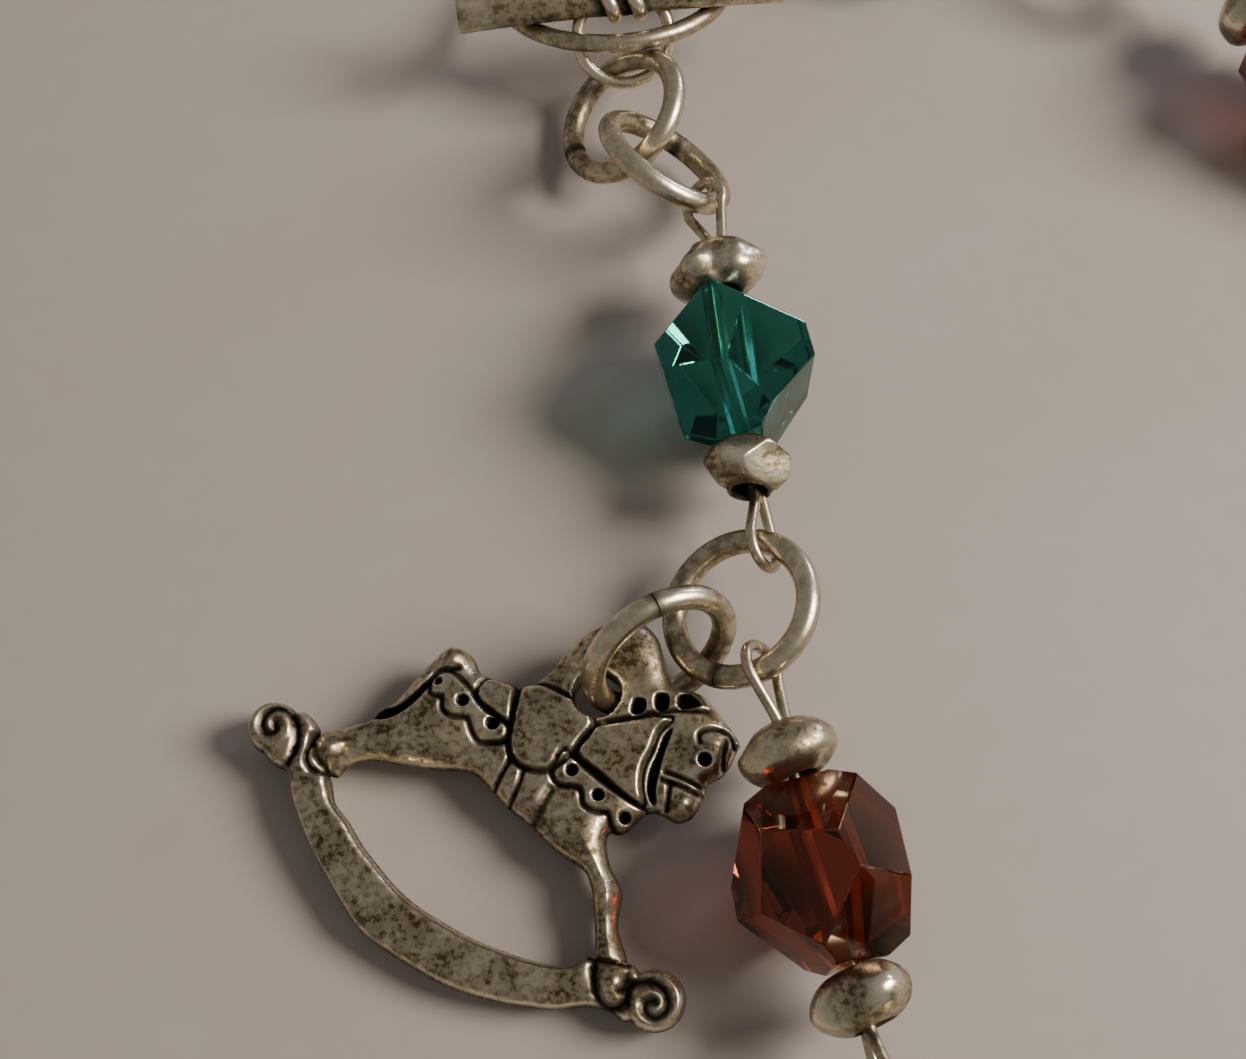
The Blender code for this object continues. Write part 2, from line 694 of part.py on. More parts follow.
def make_horse(place, charm_ring_place, collection, material):
    """The cast rocking horse: plate, rocker, scrolls and raised details made one solid."""
    edge = HORSE_THICKNESS / 4
    level = HORSE_THICKNESS
    body = plate("rocking_horse", [horse_point(*p) for p in BODY], level, edge, collection)
    tools = [plate("rocker", rocker_outline(), level * 0.9, 0.6 * edge, collection, 1)]
    for name, outline, layers in (("tail", TAIL, 1.5), ("saddle", SADDLE, 1.6),
                                  ("blanket", BLANKET, 0.9), ("neck_sheet", NECK_SHEET, 1.4),
                                  ("bridle", BRIDLE, 0.8), ("girth", GIRTH, 0.7)):
        points = [horse_point(*p) for p in outline]
        tools.append(plate(name, points, level + 2 * layers * RELIEF, 0.6 * RELIEF, collection, 2))

    def disc(name, centre, radius, height, sides=12):
        bpy.ops.mesh.primitive_cylinder_add(vertices=sides, radius=radius, depth=height)
        piece = adopt(bpy.context.object, name, collection, material)
        piece.data.transform(Matrix.Translation(centre))
        return piece

    half_run = SCROLL_PLACE * HORSE_LENGTH
    tools.append(disc("scroll_back", Vector((-half_run, 0, 0)), SCROLL_BACK, level * 1.05, 14))
    tools.append(disc("scroll_front", Vector((half_run, 0, 0)), SCROLL_FRONT, level * 1.05, 14))
    for row in ROUNDS:
        centre = horse_point(row["x"], row["y"])
        height = level + 2 * row["layers"] * RELIEF
        tools.append(disc("round", centre, row["radius"] * SCROLL_FRONT, height, 10))
    for row in KNUCKLES:
        bpy.ops.mesh.primitive_uv_sphere_add(segments=10, ring_count=7,
                                             radius=row["radius"] * SCROLL_FRONT * 1.3)
        ball = adopt(bpy.context.object, "knuckle", collection, material)
        ball.data.transform(Matrix.Translation(horse_point(row["x"], row["y"])))
        tools.append(ball)
    combine(body, tools, "UNION")

    bores = [disc("bail_bore", bail_centre(), BAIL_BORE / 2, 4 * level, 14)]
    bores.append(torus("bail_wear", ring_mid, RING_WIRE + 2 * BAIL_PLAY, charm_ring_place,
                       collection, material, 24))
    for row in ROUNDS:
        if row["bored"]:
            centre = horse_point(row["x"], row["y"])
            bores.append(disc("bore", centre, 0.42 * row["radius"] * SCROLL_FRONT, 4 * level, 8))
    combine(body, bores, "DIFFERENCE")
    adopt(body, "rocking_horse", collection, material, place)
    smooth(body)


def bail_seat():
    """Where the charm ring's wire passes the bail: it rests against the bore's front side."""
    return horse_point(*BAIL_REST)


def bail_centre():
    """Centre of the bore that the charm ring goes through, in the horse's own frame."""
    return horse_point(*BAIL_HOLE)


def centre_on_origin(collection):
    """Move everything so that the bottom centre of the whole box is the origin."""
    bpy.context.view_layer.update()
    depsgraph = bpy.context.evaluated_depsgraph_get()
    points = []
    for obj in collection.objects:
        shape = obj.evaluated_get(depsgraph).to_mesh()
        points += [obj.matrix_world @ vertex.co for vertex in shape.vertices]
    low = [min(point[axis] for point in points) for axis in range(3)]
    high = [max(point[axis] for point in points) for axis in range(3)]
    shift = Vector(((low[0] + high[0]) / 2, (low[1] + high[1]) / 2, low[2]))
    for obj in collection.objects:
        obj.matrix_world = Matrix.Translation(-shift) @ obj.matrix_world


def build():
    clear_scene()
    bracelet = make_collection("charm_bracelet")
    silver = make_material("antique_silver", (0.36, 0.33, 0.27), 0.32, 1.0)
    glasses = {
        "green_glass": make_material("green_glass", (0.01, 0.22, 0.16), 0.03, 0.0, 0.9),
        "red_glass": make_material("red_glass", (0.30, 0.02, 0.02), 0.03, 0.0, 0.9),
    }

    stem_joint = Vector((ROUTE[0][0], ROUTE[0][1], 0)) * MM
    toggle = toggle_layout(stem_joint)
    make_toggle_bar(toggle["bar"], bracelet, silver)
    torus("toggle_ring", toggle_mid, TOGGLE_WIRE, toggle["ring"], bracelet, silver, 32)

    order, joints = chain_joints(toggle)
    ring_places = []
    links_made = 0
    for kind, start, end in zip(order, joints, joints[1:]):
        if kind == "ring":
            index = len(ring_places)
            ring_places.append(jump_ring_place(index, start, end))
            name = f"jump_ring_{index + 1:02d}"
            torus(name, ring_mid, RING_WIRE, ring_places[index], bracelet, silver)
            continue
        row = LINKS[links_made]
        links_made += 1
        number = f"{links_made:02d}"
        centre = (start + end) / 2
        place = frame_at(centre, end - start, rolled_side(end - start, 0))
        make_link_wire("link_wire_" + number, row, place, bracelet, silver)
        make_bead("bead_" + number, row, place, bracelet, glasses[row["glass"]])
        seat = (BEAD_LENGTH + CAP_THICKNESS) / 2 + STACK_GAP
        for letter, way in (("a", -1), ("b", 1)):
            cap_place = place @ Matrix.Translation((way * seat, 0, 0))
            if way > 0:
                cap_place = cap_place @ Matrix.Rotation(math.pi, 4, "Z")
            make_cap(f"cap_{number}_{letter}", cap_place, bracelet, silver)

    carrier = ring_places[2]
    charm_normal = Vector(CHARM_RING_AXIS).normalized()
    charm_side = charm_normal.cross(Vector(CHARM_RING_START)).normalized()
    charm_along = charm_side.cross(charm_normal)
    charm_centre = carrier.translation + Vector(CHARM_RING_OFFSET) * MM
    charm_place = frame_at(charm_centre, charm_along, charm_side)
    torus("charm_ring", ring_mid, RING_WIRE, charm_place, bracelet, silver)

    hang_angle = math.radians(HANG_ANGLE)
    hang_point = charm_place @ Vector((ring_mid * math.cos(hang_angle),
                                       ring_mid * math.sin(hang_angle), 0))
    horse_turn = (Matrix.Rotation(math.radians(HORSE_TURN), 4, "Z")
                  @ Matrix.Rotation(math.radians(HORSE_SLOPE), 4, "X"))
    horse_place = horse_turn.copy()
    horse_place.translation = hang_point - horse_turn @ bail_seat()
    make_horse(horse_place, horse_place.inverted() @ charm_place, bracelet, silver)
    centre_on_origin(bracelet)


build()
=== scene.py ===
"""Charm bracelet on a pale floor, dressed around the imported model."""

import json
import math

import bmesh
import bpy
import numpy as np
from mathutils import Matrix, Vector, noise


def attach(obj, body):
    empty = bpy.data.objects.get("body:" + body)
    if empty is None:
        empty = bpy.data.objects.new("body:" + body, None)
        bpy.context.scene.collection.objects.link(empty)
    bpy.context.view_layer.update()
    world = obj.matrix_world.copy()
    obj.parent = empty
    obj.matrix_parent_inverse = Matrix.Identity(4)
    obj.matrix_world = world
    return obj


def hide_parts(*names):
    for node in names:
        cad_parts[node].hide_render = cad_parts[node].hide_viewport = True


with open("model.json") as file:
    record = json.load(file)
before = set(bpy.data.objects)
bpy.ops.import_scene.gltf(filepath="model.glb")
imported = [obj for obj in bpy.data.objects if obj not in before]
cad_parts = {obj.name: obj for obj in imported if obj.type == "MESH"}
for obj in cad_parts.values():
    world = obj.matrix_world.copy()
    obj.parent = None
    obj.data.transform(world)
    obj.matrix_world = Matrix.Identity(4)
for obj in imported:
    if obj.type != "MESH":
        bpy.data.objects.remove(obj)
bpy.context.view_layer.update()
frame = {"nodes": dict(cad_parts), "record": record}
nodes = frame["nodes"]
MM = 0.001


# Jump rings. Nine cut rings of 1.2 mm silver-plated wire join the links, and one more carries the
# charm. Each is sawn through once and closed by twisting, so a fine seam shows. They hang in the
# wire loops of the links.
def node_points(name):
    """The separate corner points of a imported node, as an array."""
    mesh = nodes[name].data
    flat = np.empty(len(mesh.vertices) * 3)
    mesh.vertices.foreach_get("co", flat)
    return np.unique(flat.reshape(-1, 3).round(7), axis=0)


def ring_pose(name):
    """Centre and axis of a packed ring, and the radius of its wire's middle line."""
    points = node_points(name)
    centre = points.mean(axis=0)
    offsets = points - centre
    axes = np.linalg.eigh(offsets.T @ offsets)[1]
    radius = np.linalg.norm(offsets, axis=1)
    return Vector(centre), Vector(axes[:, 0]), float(radius.max() + radius.min()) / 2


def ring_plane(axis):
    """Two directions in a ring's plane, square to each other."""
    along = (Vector((1, 0, 0)) - axis * axis.x).normalized()
    return along, axis.cross(along)


def ring_point(centre, radius, along, across, turn):
    """Point on a ring's middle line."""
    return centre + radius * (along * math.cos(turn) + across * math.sin(turn))


def rgba_mix(tree, share, first, second):
    """Colour mix node; its colour sockets are the seventh and eighth. Gives the mixed socket."""
    node = tree.nodes.new("ShaderNodeMix")
    node.data_type = "RGBA"
    tree.links.new(share, node.inputs[0])
    for socket, value in ((node.inputs[6], first), (node.inputs[7], second)):
        if isinstance(value, tuple):
            socket.default_value = (*value, 1.0)
        else:
            tree.links.new(value, socket)
    return node.outputs[2]


SILVER_PLATE = (0.60, 0.51, 0.36)
# Rubbed plate colour; on the rings it is also painted sheen on their upper faces.
RUBBED_AND_SHEEN_PLATE = (0.84, 0.75, 0.57)
BROWN_VEIL = (0.064, 0.040, 0.010)
# Black oxide in lines, pits and seams; the same black is painted shade on the clasp bar and under the
# horse's tail.
OXIDE_AND_SHADE_BLACK = (0.006, 0.005, 0.004)


def silver_tone_group():
    """Shader group: how an oxidised and rubbed silver coating varies over the surface, with painted
    shade and painted sheen where a piece's attributes ask for them.
    """
    group = bpy.data.node_groups.new("oxidised silver tone", "ShaderNodeTree")
    for label, kind, value in (("Grain", "NodeSocketFloat", 900.0),
                               ("Tarnish", "NodeSocketFloat", 0.5),
                               ("Recess", "NodeSocketFloat", 0.0),
                               ("Rub_and_sheen", "NodeSocketFloat", 0.0)):
        socket = group.interface.new_socket(label, in_out="INPUT", socket_type=kind)
        socket.default_value = value
    group.interface.new_socket("Color", in_out="OUTPUT", socket_type="NodeSocketColor")
    group.interface.new_socket("Roughness", in_out="OUTPUT", socket_type="NodeSocketFloat")
    group.interface.new_socket("Height", in_out="OUTPUT", socket_type="NodeSocketFloat")
    new = group.nodes.new
    link = group.links.new
    entry = new("NodeGroupInput")
    leave = new("NodeGroupOutput")
    place = new("ShaderNodeTexCoord")

    def noise_at(scale_by, detail):
        scale = new("ShaderNodeMath")
        scale.operation = "MULTIPLY"
        scale.inputs[1].default_value = scale_by
        link(entry.outputs["Grain"], scale.inputs[0])
        texture = new("ShaderNodeTexNoise")
        texture.inputs["Detail"].default_value = detail
        texture.inputs["Roughness"].default_value = 0.62
        link(place.outputs["Object"], texture.inputs["Vector"])
        link(scale.outputs[0], texture.inputs["Scale"])
        return texture.outputs["Fac"]

    def band(value, low, high):
        spread = new("ShaderNodeMapRange")
        spread.interpolation_type = "SMOOTHSTEP"
        spread.inputs["From Min"].default_value = low
        spread.inputs["From Max"].default_value = high
        link(value, spread.inputs["Value"])
        return spread.outputs["Result"]

    def math_node(operation, first, second):
        node = new("ShaderNodeMath")
        node.operation = operation
        node.use_clamp = True
        for index, value in enumerate((first, second)):
            if isinstance(value, float):
                node.inputs[index].default_value = value
            else:
                link(value, node.inputs[index])
        return node.outputs[0]

    clouds = noise_at(1.0, 5.0)
    specks = noise_at(4.5, 4.0)
    blotches = band(clouds, 0.36, 0.60)
    fine = band(specks, 0.42, 0.62)
    spotted = math_node("ADD", math_node("MULTIPLY", blotches, 0.55),
                        math_node("MULTIPLY", fine, 0.55))
    veil = math_node("MULTIPLY", spotted, entry.outputs["Tarnish"])
    bare = math_node("SUBTRACT", 1.0, entry.outputs["Rub_and_sheen"])
    veil = math_node("MULTIPLY", veil, bare)
    base = rgba_mix(group, entry.outputs["Rub_and_sheen"], SILVER_PLATE, RUBBED_AND_SHEEN_PLATE)
    toned = rgba_mix(group, veil, base, BROWN_VEIL)
    colour = rgba_mix(group, entry.outputs["Recess"], toned, OXIDE_AND_SHADE_BLACK)
    link(colour, leave.inputs["Color"])
    dull = math_node("MULTIPLY", veil, 0.26)
    soot_and_shade = math_node("MULTIPLY", entry.outputs["Recess"], 0.35)
    rough = math_node("ADD", math_node("ADD", dull, 0.24), soot_and_shade)
    link(rough, leave.inputs["Roughness"])
    grainy = math_node("MULTIPLY", specks, 0.5)
    link(math_node("ADD", math_node("MULTIPLY", clouds, 0.5), grainy), leave.inputs["Height"])
    return group


silver_tone = silver_tone_group()


def silver_material(name, grain, tarnish, bump):
    """Antique silver plate; oxide, rub, painted shade and painted sheen are read from the piece's own
    attributes.
    """
    material = bpy.data.materials.new(name)
    material.use_nodes = True
    tree = material.node_tree
    shader = tree.nodes["Principled BSDF"]
    shader.inputs["Metallic"].default_value = 1.0
    tone = tree.nodes.new("ShaderNodeGroup")
    tone.node_tree = silver_tone
    tone.inputs["Grain"].default_value = grain
    tone.inputs["Tarnish"].default_value = tarnish
    for attribute, socket in (("recess", "Recess"), ("rub_and_sheen", "Rub_and_sheen")):
        reader = tree.nodes.new("ShaderNodeAttribute")
        reader.attribute_name = attribute
        tree.links.new(reader.outputs["Fac"], tone.inputs[socket])
    relief = tree.nodes.new("ShaderNodeBump")
    relief.inputs["Distance"].default_value = bump
    relief.inputs["Strength"].default_value = 0.6
    tree.links.new(tone.outputs["Height"], relief.inputs["Height"])
    tree.links.new(tone.outputs["Color"], shader.inputs["Base Color"])
    tree.links.new(tone.outputs["Roughness"], shader.inputs["Roughness"])
    tree.links.new(relief.outputs["Normal"], shader.inputs["Normal"])
    return material


def drawn_wire_tree():
    """Geometry Nodes: a round wire swept along the object's own curve."""
    tree = bpy.data.node_groups.new("drawn wire", "GeometryNodeTree")
    socket = tree.interface.new_socket
    socket("Route", in_out="INPUT", socket_type="NodeSocketGeometry")
    socket("Wire", in_out="INPUT", socket_type="NodeSocketFloat")
    socket("Sides", in_out="INPUT", socket_type="NodeSocketInt")
    socket("Step", in_out="INPUT", socket_type="NodeSocketFloat")
    socket("Finish", in_out="INPUT", socket_type="NodeSocketMaterial")
    socket("Piece", in_out="OUTPUT", socket_type="NodeSocketGeometry")
    entry = tree.nodes.new("NodeGroupInput")
    leave = tree.nodes.new("NodeGroupOutput")
    resample = tree.nodes.new("GeometryNodeResampleCurve")
    resample.mode = "LENGTH"
    halve = tree.nodes.new("ShaderNodeMath")
    halve.operation = "MULTIPLY"
    halve.inputs[1].default_value = 0.5
    section = tree.nodes.new("GeometryNodeCurvePrimitiveCircle")
    sweep = tree.nodes.new("GeometryNodeCurveToMesh")
    sweep.inputs["Fill Caps"].default_value = True
    soft = tree.nodes.new("GeometryNodeSetShadeSmooth")
    real = tree.nodes.new("GeometryNodeRealizeInstances")
    finish = tree.nodes.new("GeometryNodeSetMaterial")
    link = tree.links.new
    link(entry.outputs["Route"], resample.inputs["Curve"])
    link(entry.outputs["Step"], resample.inputs["Length"])
    link(entry.outputs["Wire"], halve.inputs[0])
    link(halve.outputs[0], section.inputs["Radius"])
    link(entry.outputs["Sides"], section.inputs["Resolution"])
    link(resample.outputs["Curve"], sweep.inputs["Curve"])
    link(section.outputs["Curve"], sweep.inputs["Profile Curve"])
    link(sweep.outputs["Mesh"], soft.inputs["Geometry"])
    link(soft.outputs["Geometry"], real.inputs["Geometry"])
    link(real.outputs["Geometry"], finish.inputs["Geometry"])
    link(entry.outputs["Finish"], finish.inputs["Material"])
    link(finish.outputs["Geometry"], leave.inputs["Piece"])
    return tree


drawn_wire = drawn_wire_tree()


def fit_piece(name, mesh, slot, *stands_for):
    """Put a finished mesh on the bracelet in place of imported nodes."""
    piece = bpy.data.objects.new(name, mesh)
    bpy.context.scene.collection.objects.link(piece)
    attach(piece, "root")
    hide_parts(*stands_for)
    return piece


def wire_mesh(name, points, wire, sides, step, material, closed=False):
    """Sweep a wire along points and return its plain mesh."""
    curve = bpy.data.curves.new(name + "_route", "CURVE")
    curve.dimensions = "3D"
    spline = curve.splines.new("POLY")
    spline.points.add(len(points) - 1)
    for knot, point in zip(spline.points, points):
        knot.co = (*point, 1.0)
    spline.use_cyclic_u = closed
    route = bpy.data.objects.new(name + "_route", curve)
    bpy.context.scene.collection.objects.link(route)
    sweep = route.modifiers.new("drawn wire", "NODES")
    sweep.node_group = drawn_wire
    values = {"Wire": wire, "Sides": sides, "Step": step, "Finish": material}
    for item in drawn_wire.interface.items_tree:
        if item.in_out == "INPUT" and item.name in values:
            sweep[item.identifier] = values[item.name]
    depsgraph = bpy.context.evaluated_depsgraph_get()
    mesh = bpy.data.meshes.new_from_object(route.evaluated_get(depsgraph))
    mesh.name = name
    bpy.data.objects.remove(route)
    bpy.data.curves.remove(curve)
    return mesh


def set_attribute(mesh, name, values):
    """Write one number for each point of the mesh."""
    layer = mesh.attributes.new(name, "FLOAT", "POINT")
    layer.data.foreach_set("value", np.asarray(values, dtype=np.float32))


def points_of(mesh):
    """The mesh's points as an array."""
    flat = np.empty(len(mesh.vertices) * 3)
    mesh.vertices.foreach_get("co", flat)
    return flat.reshape(-1, 3)


RING_WIRE = 1.2 * MM
RING_SEAM = 0.03 * MM
RING_SIDES = 20
RING_STEP = 0.22 * MM
RING_POINTS = 96
SEAM_SOOT = 0.1 * MM
ring_silver = silver_material("ring silver", grain=520.0, tarnish=0.75, bump=0.05 * MM)
SEAM_TURNS = {"jump_ring_01": 200, "jump_ring_02": 75, "jump_ring_03": 250, "charm_ring": 95}
HIDDEN_SEAM_TURN = 160

for name in sorted(n for n in nodes if n.startswith("jump_ring") or n == "charm_ring"):
    centre, axis, radius = ring_pose(name)
    if axis.z < 0:
        axis = -axis
    along, across = ring_plane(axis)
    seam = math.radians(SEAM_TURNS.get(name, HIDDEN_SEAM_TURN))
    half_gap = RING_SEAM / radius / 2
    route = []
    for step in range(RING_POINTS + 1):
        turn = seam + half_gap + (2 * math.pi - 2 * half_gap) * step / RING_POINTS
        route.append(ring_point(centre, radius, along, across, turn))
    mesh = wire_mesh(name + "_wire", route, RING_WIRE, RING_SIDES, RING_STEP, ring_silver)
    spots = points_of(mesh)
    seam_point = np.array(ring_point(centre, radius, along, across, seam))
    past_wire = np.linalg.norm(spots - seam_point, axis=1) - RING_WIRE * 0.52
    set_attribute(mesh, "recess", np.clip(1.0 - past_wire / SEAM_SOOT, 0, 1) * 0.8)
    # Painted sheen and shade: the wire's upper face is painted lighter than its lower face, as light
    # from above falls on it.
    underside = (np.array(centre)[2] - spots[:, 2]) / radius
    set_attribute(mesh, "rub_and_sheen", np.clip(0.35 - underside, 0, 1) * 0.5)
    fit_piece(name + "_cut", mesh, "silver", name)


# Bead links. Each faceted glass bead sits between two cast spacers on one 0.55 mm wire, which is
# bent into a teardrop loop at each end and tucked back into the spacer. The loops hang in the
# jump rings.
LINK_WIRE = 0.55 * MM
LINK_SIDES = 12
LINK_STEP = 0.12 * MM
LINK_LOOP = 1.2 * MM
SPACER_FACE = 1.35 * MM
# Each leg's places are in millimetres, out from the spacer's face and aside from the link's line.
TUCKED_LEG = [
    {"out": -1.2, "lean": 0.64}, {"out": -0.3, "lean": 0.64}, {"out": 0.4, "lean": 0.72},
]
STRAIGHT_LEG = [
    {"out": 0.5, "lean": -0.12}, {"out": -0.3, "lean": 0.0}, {"out": -1.2, "lean": 0.0},
]
link_silver = silver_material("link wire silver", grain=900.0, tarnish=0.7, bump=0.02 * MM)


def link_pose(number):
    """Middle, direction and half distance between the spacers of one packed link."""
    first = node_points(f"cap_{number}_a").mean(axis=0)
    second = node_points(f"cap_{number}_b").mean(axis=0)
    along = Vector(second - first)
    return Vector((first + second) / 2), along.normalized(), along.length / 2


def split_along(points, middle, along):
    """How far each point lies along a line through middle, and its offset away from that line."""
    offset = points - np.array(middle)
    place = offset @ np.array(along)
    return place, offset - np.outer(place, np.array(along))


def link_route(number):
    """Middle line of a link's wire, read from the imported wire's own loops."""
    middle, along, reach = link_pose(number)
    place, away = split_along(node_points("link_wire_" + number), middle, along)
    tip = place.max() - LINK_WIRE / 2
    face = reach + SPACER_FACE
    route = []
    for way in (-1, 1):
        out = place * way
        loop = out > face + 0.5 * MM
        side = Vector(np.linalg.eigh(away[loop].T @ away[loop])[1][:, 2])
        leg = (out < face + 0.2 * MM) & (out > face - 1.2 * MM)
        if np.mean(away[leg] @ np.array(side)) < 0:
            side = -side
        half = [(face + knot["out"] * MM, knot["lean"] * MM) for knot in TUCKED_LEG]
        for degrees in range(120, -121, -20):
            turn = math.radians(degrees)
            half.append((tip - LINK_LOOP + LINK_LOOP * math.cos(turn), LINK_LOOP * math.sin(turn)))
        half += [(face + knot["out"] * MM, knot["lean"] * MM) for knot in STRAIGHT_LEG]
        bent = [middle + along * (way * far) + side * lean for far, lean in half]
        route += bent if way < 0 else bent[::-1]
    return route


def smooth_through(points, steps, closed=False):
    """Catmull-Rom curve through the points."""
    spots = [Vector(p) for p in points]
    count = len(spots)
    result = []
    last = count if closed else count - 1
    for index in range(last):
        if closed:
            a, b, c, d = (spots[(index + shift) % count] for shift in (-1, 0, 1, 2))
        else:
            a, b, c, d = (spots[min(max(index + shift, 0), count - 1)] for shift in (-1, 0, 1, 2))
        for step in range(steps):
            t = step / steps
            result.append(0.5 * (2 * b + (c - a) * t + (2 * a - 5 * b + 4 * c - d) * t * t
                                 + (3 * b - a - 3 * c + d) * t ** 3))
    if not closed:
        result.append(spots[-1])
    return result


link_numbers = sorted(n[-2:] for n in nodes if n.startswith("link_wire_"))
for number in link_numbers:
    route = smooth_through(link_route(number), 4)
    mesh = wire_mesh("bent_wire_" + number, route, LINK_WIRE, LINK_SIDES, LINK_STEP, link_silver)
    set_attribute(mesh, "rub_and_sheen", np.full(len(mesh.vertices), 0.25))
    fit_piece("bent_wire_" + number, mesh, "silver", "link_wire_" + number)


# Spacers. Small cast silver pebbles, bored through and pushed against the ends of the beads. They
# were poured, not turned: one is two-lobed, one is hammered into flats, one is a smooth lentil,
# one is kidney-shaped, and the loose bore lets each lean on its wire.
SPACER_WIDTH = 4.75 * MM
SPACER_BORE = 1.7 * MM
SPACER_MOUTH = 1.18
SPACER_FULLNESS = 0.92
SPACER_ROWS = 34
SPACER_SIDES = 96
# The bore's lip, in shares of the bore's radius and of the half thickness where the pebble starts.
BORE_LIP = [
    {"out": 1.00, "along": 0.45}, {"out": 1.02, "along": 0.82}, {"out": 1.10, "along": 0.97},
]
spacer_silver = silver_material("spacer silver", grain=620.0, tarnish=0.88, bump=0.07 * MM)
SPACER_KINDS = {
    "two_lobed": {"thick": 3.1, "lean": 4, "flats": 5, "cut": 0.10, "lumps": 0.22,
                  "dent": 0.34, "dent_turn": 95, "dent_width": 0.42},
    "hammered": {"thick": 3.0, "lean": -11, "flats": 18, "cut": 0.17, "lumps": 0.06,
                 "dent": 0.0, "dent_turn": 0, "dent_width": 0.3},
    "lentil": {"thick": 2.9, "lean": 7, "flats": 2, "cut": 0.05, "lumps": 0.08,
               "dent": 0.05, "dent_turn": 140, "dent_width": 0.8},
    "kidney": {"thick": 2.9, "lean": 10, "flats": 3, "cut": 0.08, "lumps": 0.13,
               "dent": 0.16, "dent_turn": 118, "dent_width": 0.5},
}
SPACER_ORDER = ("two_lobed", "hammered", "lentil", "kidney")


def spacer_section(half, count):
    """Half section of a bored lentil, as distance from the bore's axis and along it."""
    bore = SPACER_BORE / 2
    outer = SPACER_WIDTH / 2
    start = math.acos(bore / outer * SPACER_MOUTH)
    rows = []
    for step in range(count):
        turn = start - 2 * start * step / (count - 1)
        rows.append((outer * math.cos(turn) ** SPACER_FULLNESS, half * math.sin(turn)))
    lip = rows[0][1]
    rows = [(bore * knot["out"], lip * knot["along"]) for knot in BORE_LIP] + rows
    return rows + [(radius, -along) for radius, along in rows[2::-1]] + [(bore, 0.0)]


def surface_mesh(name, points, faces):
    """A smooth-shaded mesh from points and faces."""
    mesh = bpy.data.meshes.new(name)
    mesh.from_pydata([tuple(p) for p in points], [], faces)
    mesh.polygons.foreach_set("use_smooth", [True] * len(faces))
    return mesh


def spacer_mesh(name, middle, along, kind, seed):
    """A closed, bored pebble round the link's axis, with its flats, lumps and dent."""
    draw = np.random.default_rng(seed)
    way = SPACER_KINDS[kind]
    section = np.array(spacer_section(way["thick"] * MM / 2, SPACER_ROWS))
    rows = len(section)
    outer = SPACER_WIDTH / 2
    turn = np.linspace(0, 2 * np.pi, SPACER_SIDES, endpoint=False)[:, None]
    radius = section[None, :, 0] + 0 * turn
    lift = section[None, :, 1] + 0 * turn
    points = np.stack([lift, radius * np.cos(turn), radius * np.sin(turn)], axis=-1)
    points = points.reshape(-1, 3)
    off_axis = np.linalg.norm(points[:, 1:], axis=1)
    weight = np.clip((off_axis - SPACER_BORE * 0.55) / (outer - SPACER_BORE * 0.55), 0, 1)
    for _ in range(way["flats"]):
        normal = draw.normal(size=3) * (0.8, 1.0, 1.0)
        normal /= np.linalg.norm(normal)
        reach = (points @ normal).max() - way["cut"] * draw.uniform(0.4, 1.3) * outer
        over = np.clip(points @ normal - reach, 0, None) * (weight > 0.12)
        points = points - over[:, None] * normal
    shift = draw.uniform(-50, 50, 3)
    lumps = np.array([noise.noise(Vector(p / outer * 1.25 + shift)) for p in points])
    facing = np.arctan2(points[:, 2], points[:, 1]) - math.radians(way["dent_turn"])
    facing = np.abs((facing + np.pi) % (2 * np.pi) - np.pi)
    dent = np.exp(-(facing / way["dent_width"]) ** 2)
    scale = 1 + weight * (lumps * way["lumps"] - dent * way["dent"])
    points = points * np.stack([np.sqrt(scale), scale, scale], axis=1)
    faces = []
    for i in range(SPACER_SIDES):
        for j in range(rows):
            k = (i + 1) % SPACER_SIDES
            m = (j + 1) % rows
            faces.append((i * rows + j, k * rows + j, k * rows + m, i * rows + m))
    mesh = surface_mesh(name, points, faces)
    basis = along.to_track_quat("X", "Z").to_matrix().to_4x4()
    lean = Matrix.Rotation(math.radians(way["lean"]), 4, "Z")
    mesh.transform(Matrix.Translation(middle) @ basis @ lean)
    skin = bmesh.new()
    skin.from_mesh(mesh)
    bmesh.ops.recalc_face_normals(skin, faces=skin.faces)
    skin.to_mesh(mesh)
    skin.free()
    mesh.materials.append(spacer_silver)
    sunk = dent * way["dent"] * 3.0 * weight + (0.22 - weight) * 3.5
    set_attribute(mesh, "recess", np.clip(sunk - lumps * way["lumps"] * 1.5, 0, 1))
    set_attribute(mesh, "rub_and_sheen", np.clip(lumps * 1.8 + 0.15, 0, 1) * weight)
    return mesh


for index, number in enumerate(link_numbers):
    middle, along, reach = link_pose(number)
    for letter, way in (("a", -1), ("b", 1)):
        row = 2 * index + (letter == "b")
        kind = SPACER_ORDER[row % len(SPACER_ORDER)]
        place = middle + along * (way * reach)
        mesh = spacer_mesh(f"spacer_{number}_{letter}", place, along, kind, 40 + row)
        fit_piece(f"spacer_{number}_{letter}", mesh, "silver", f"cap_{number}_{letter}")


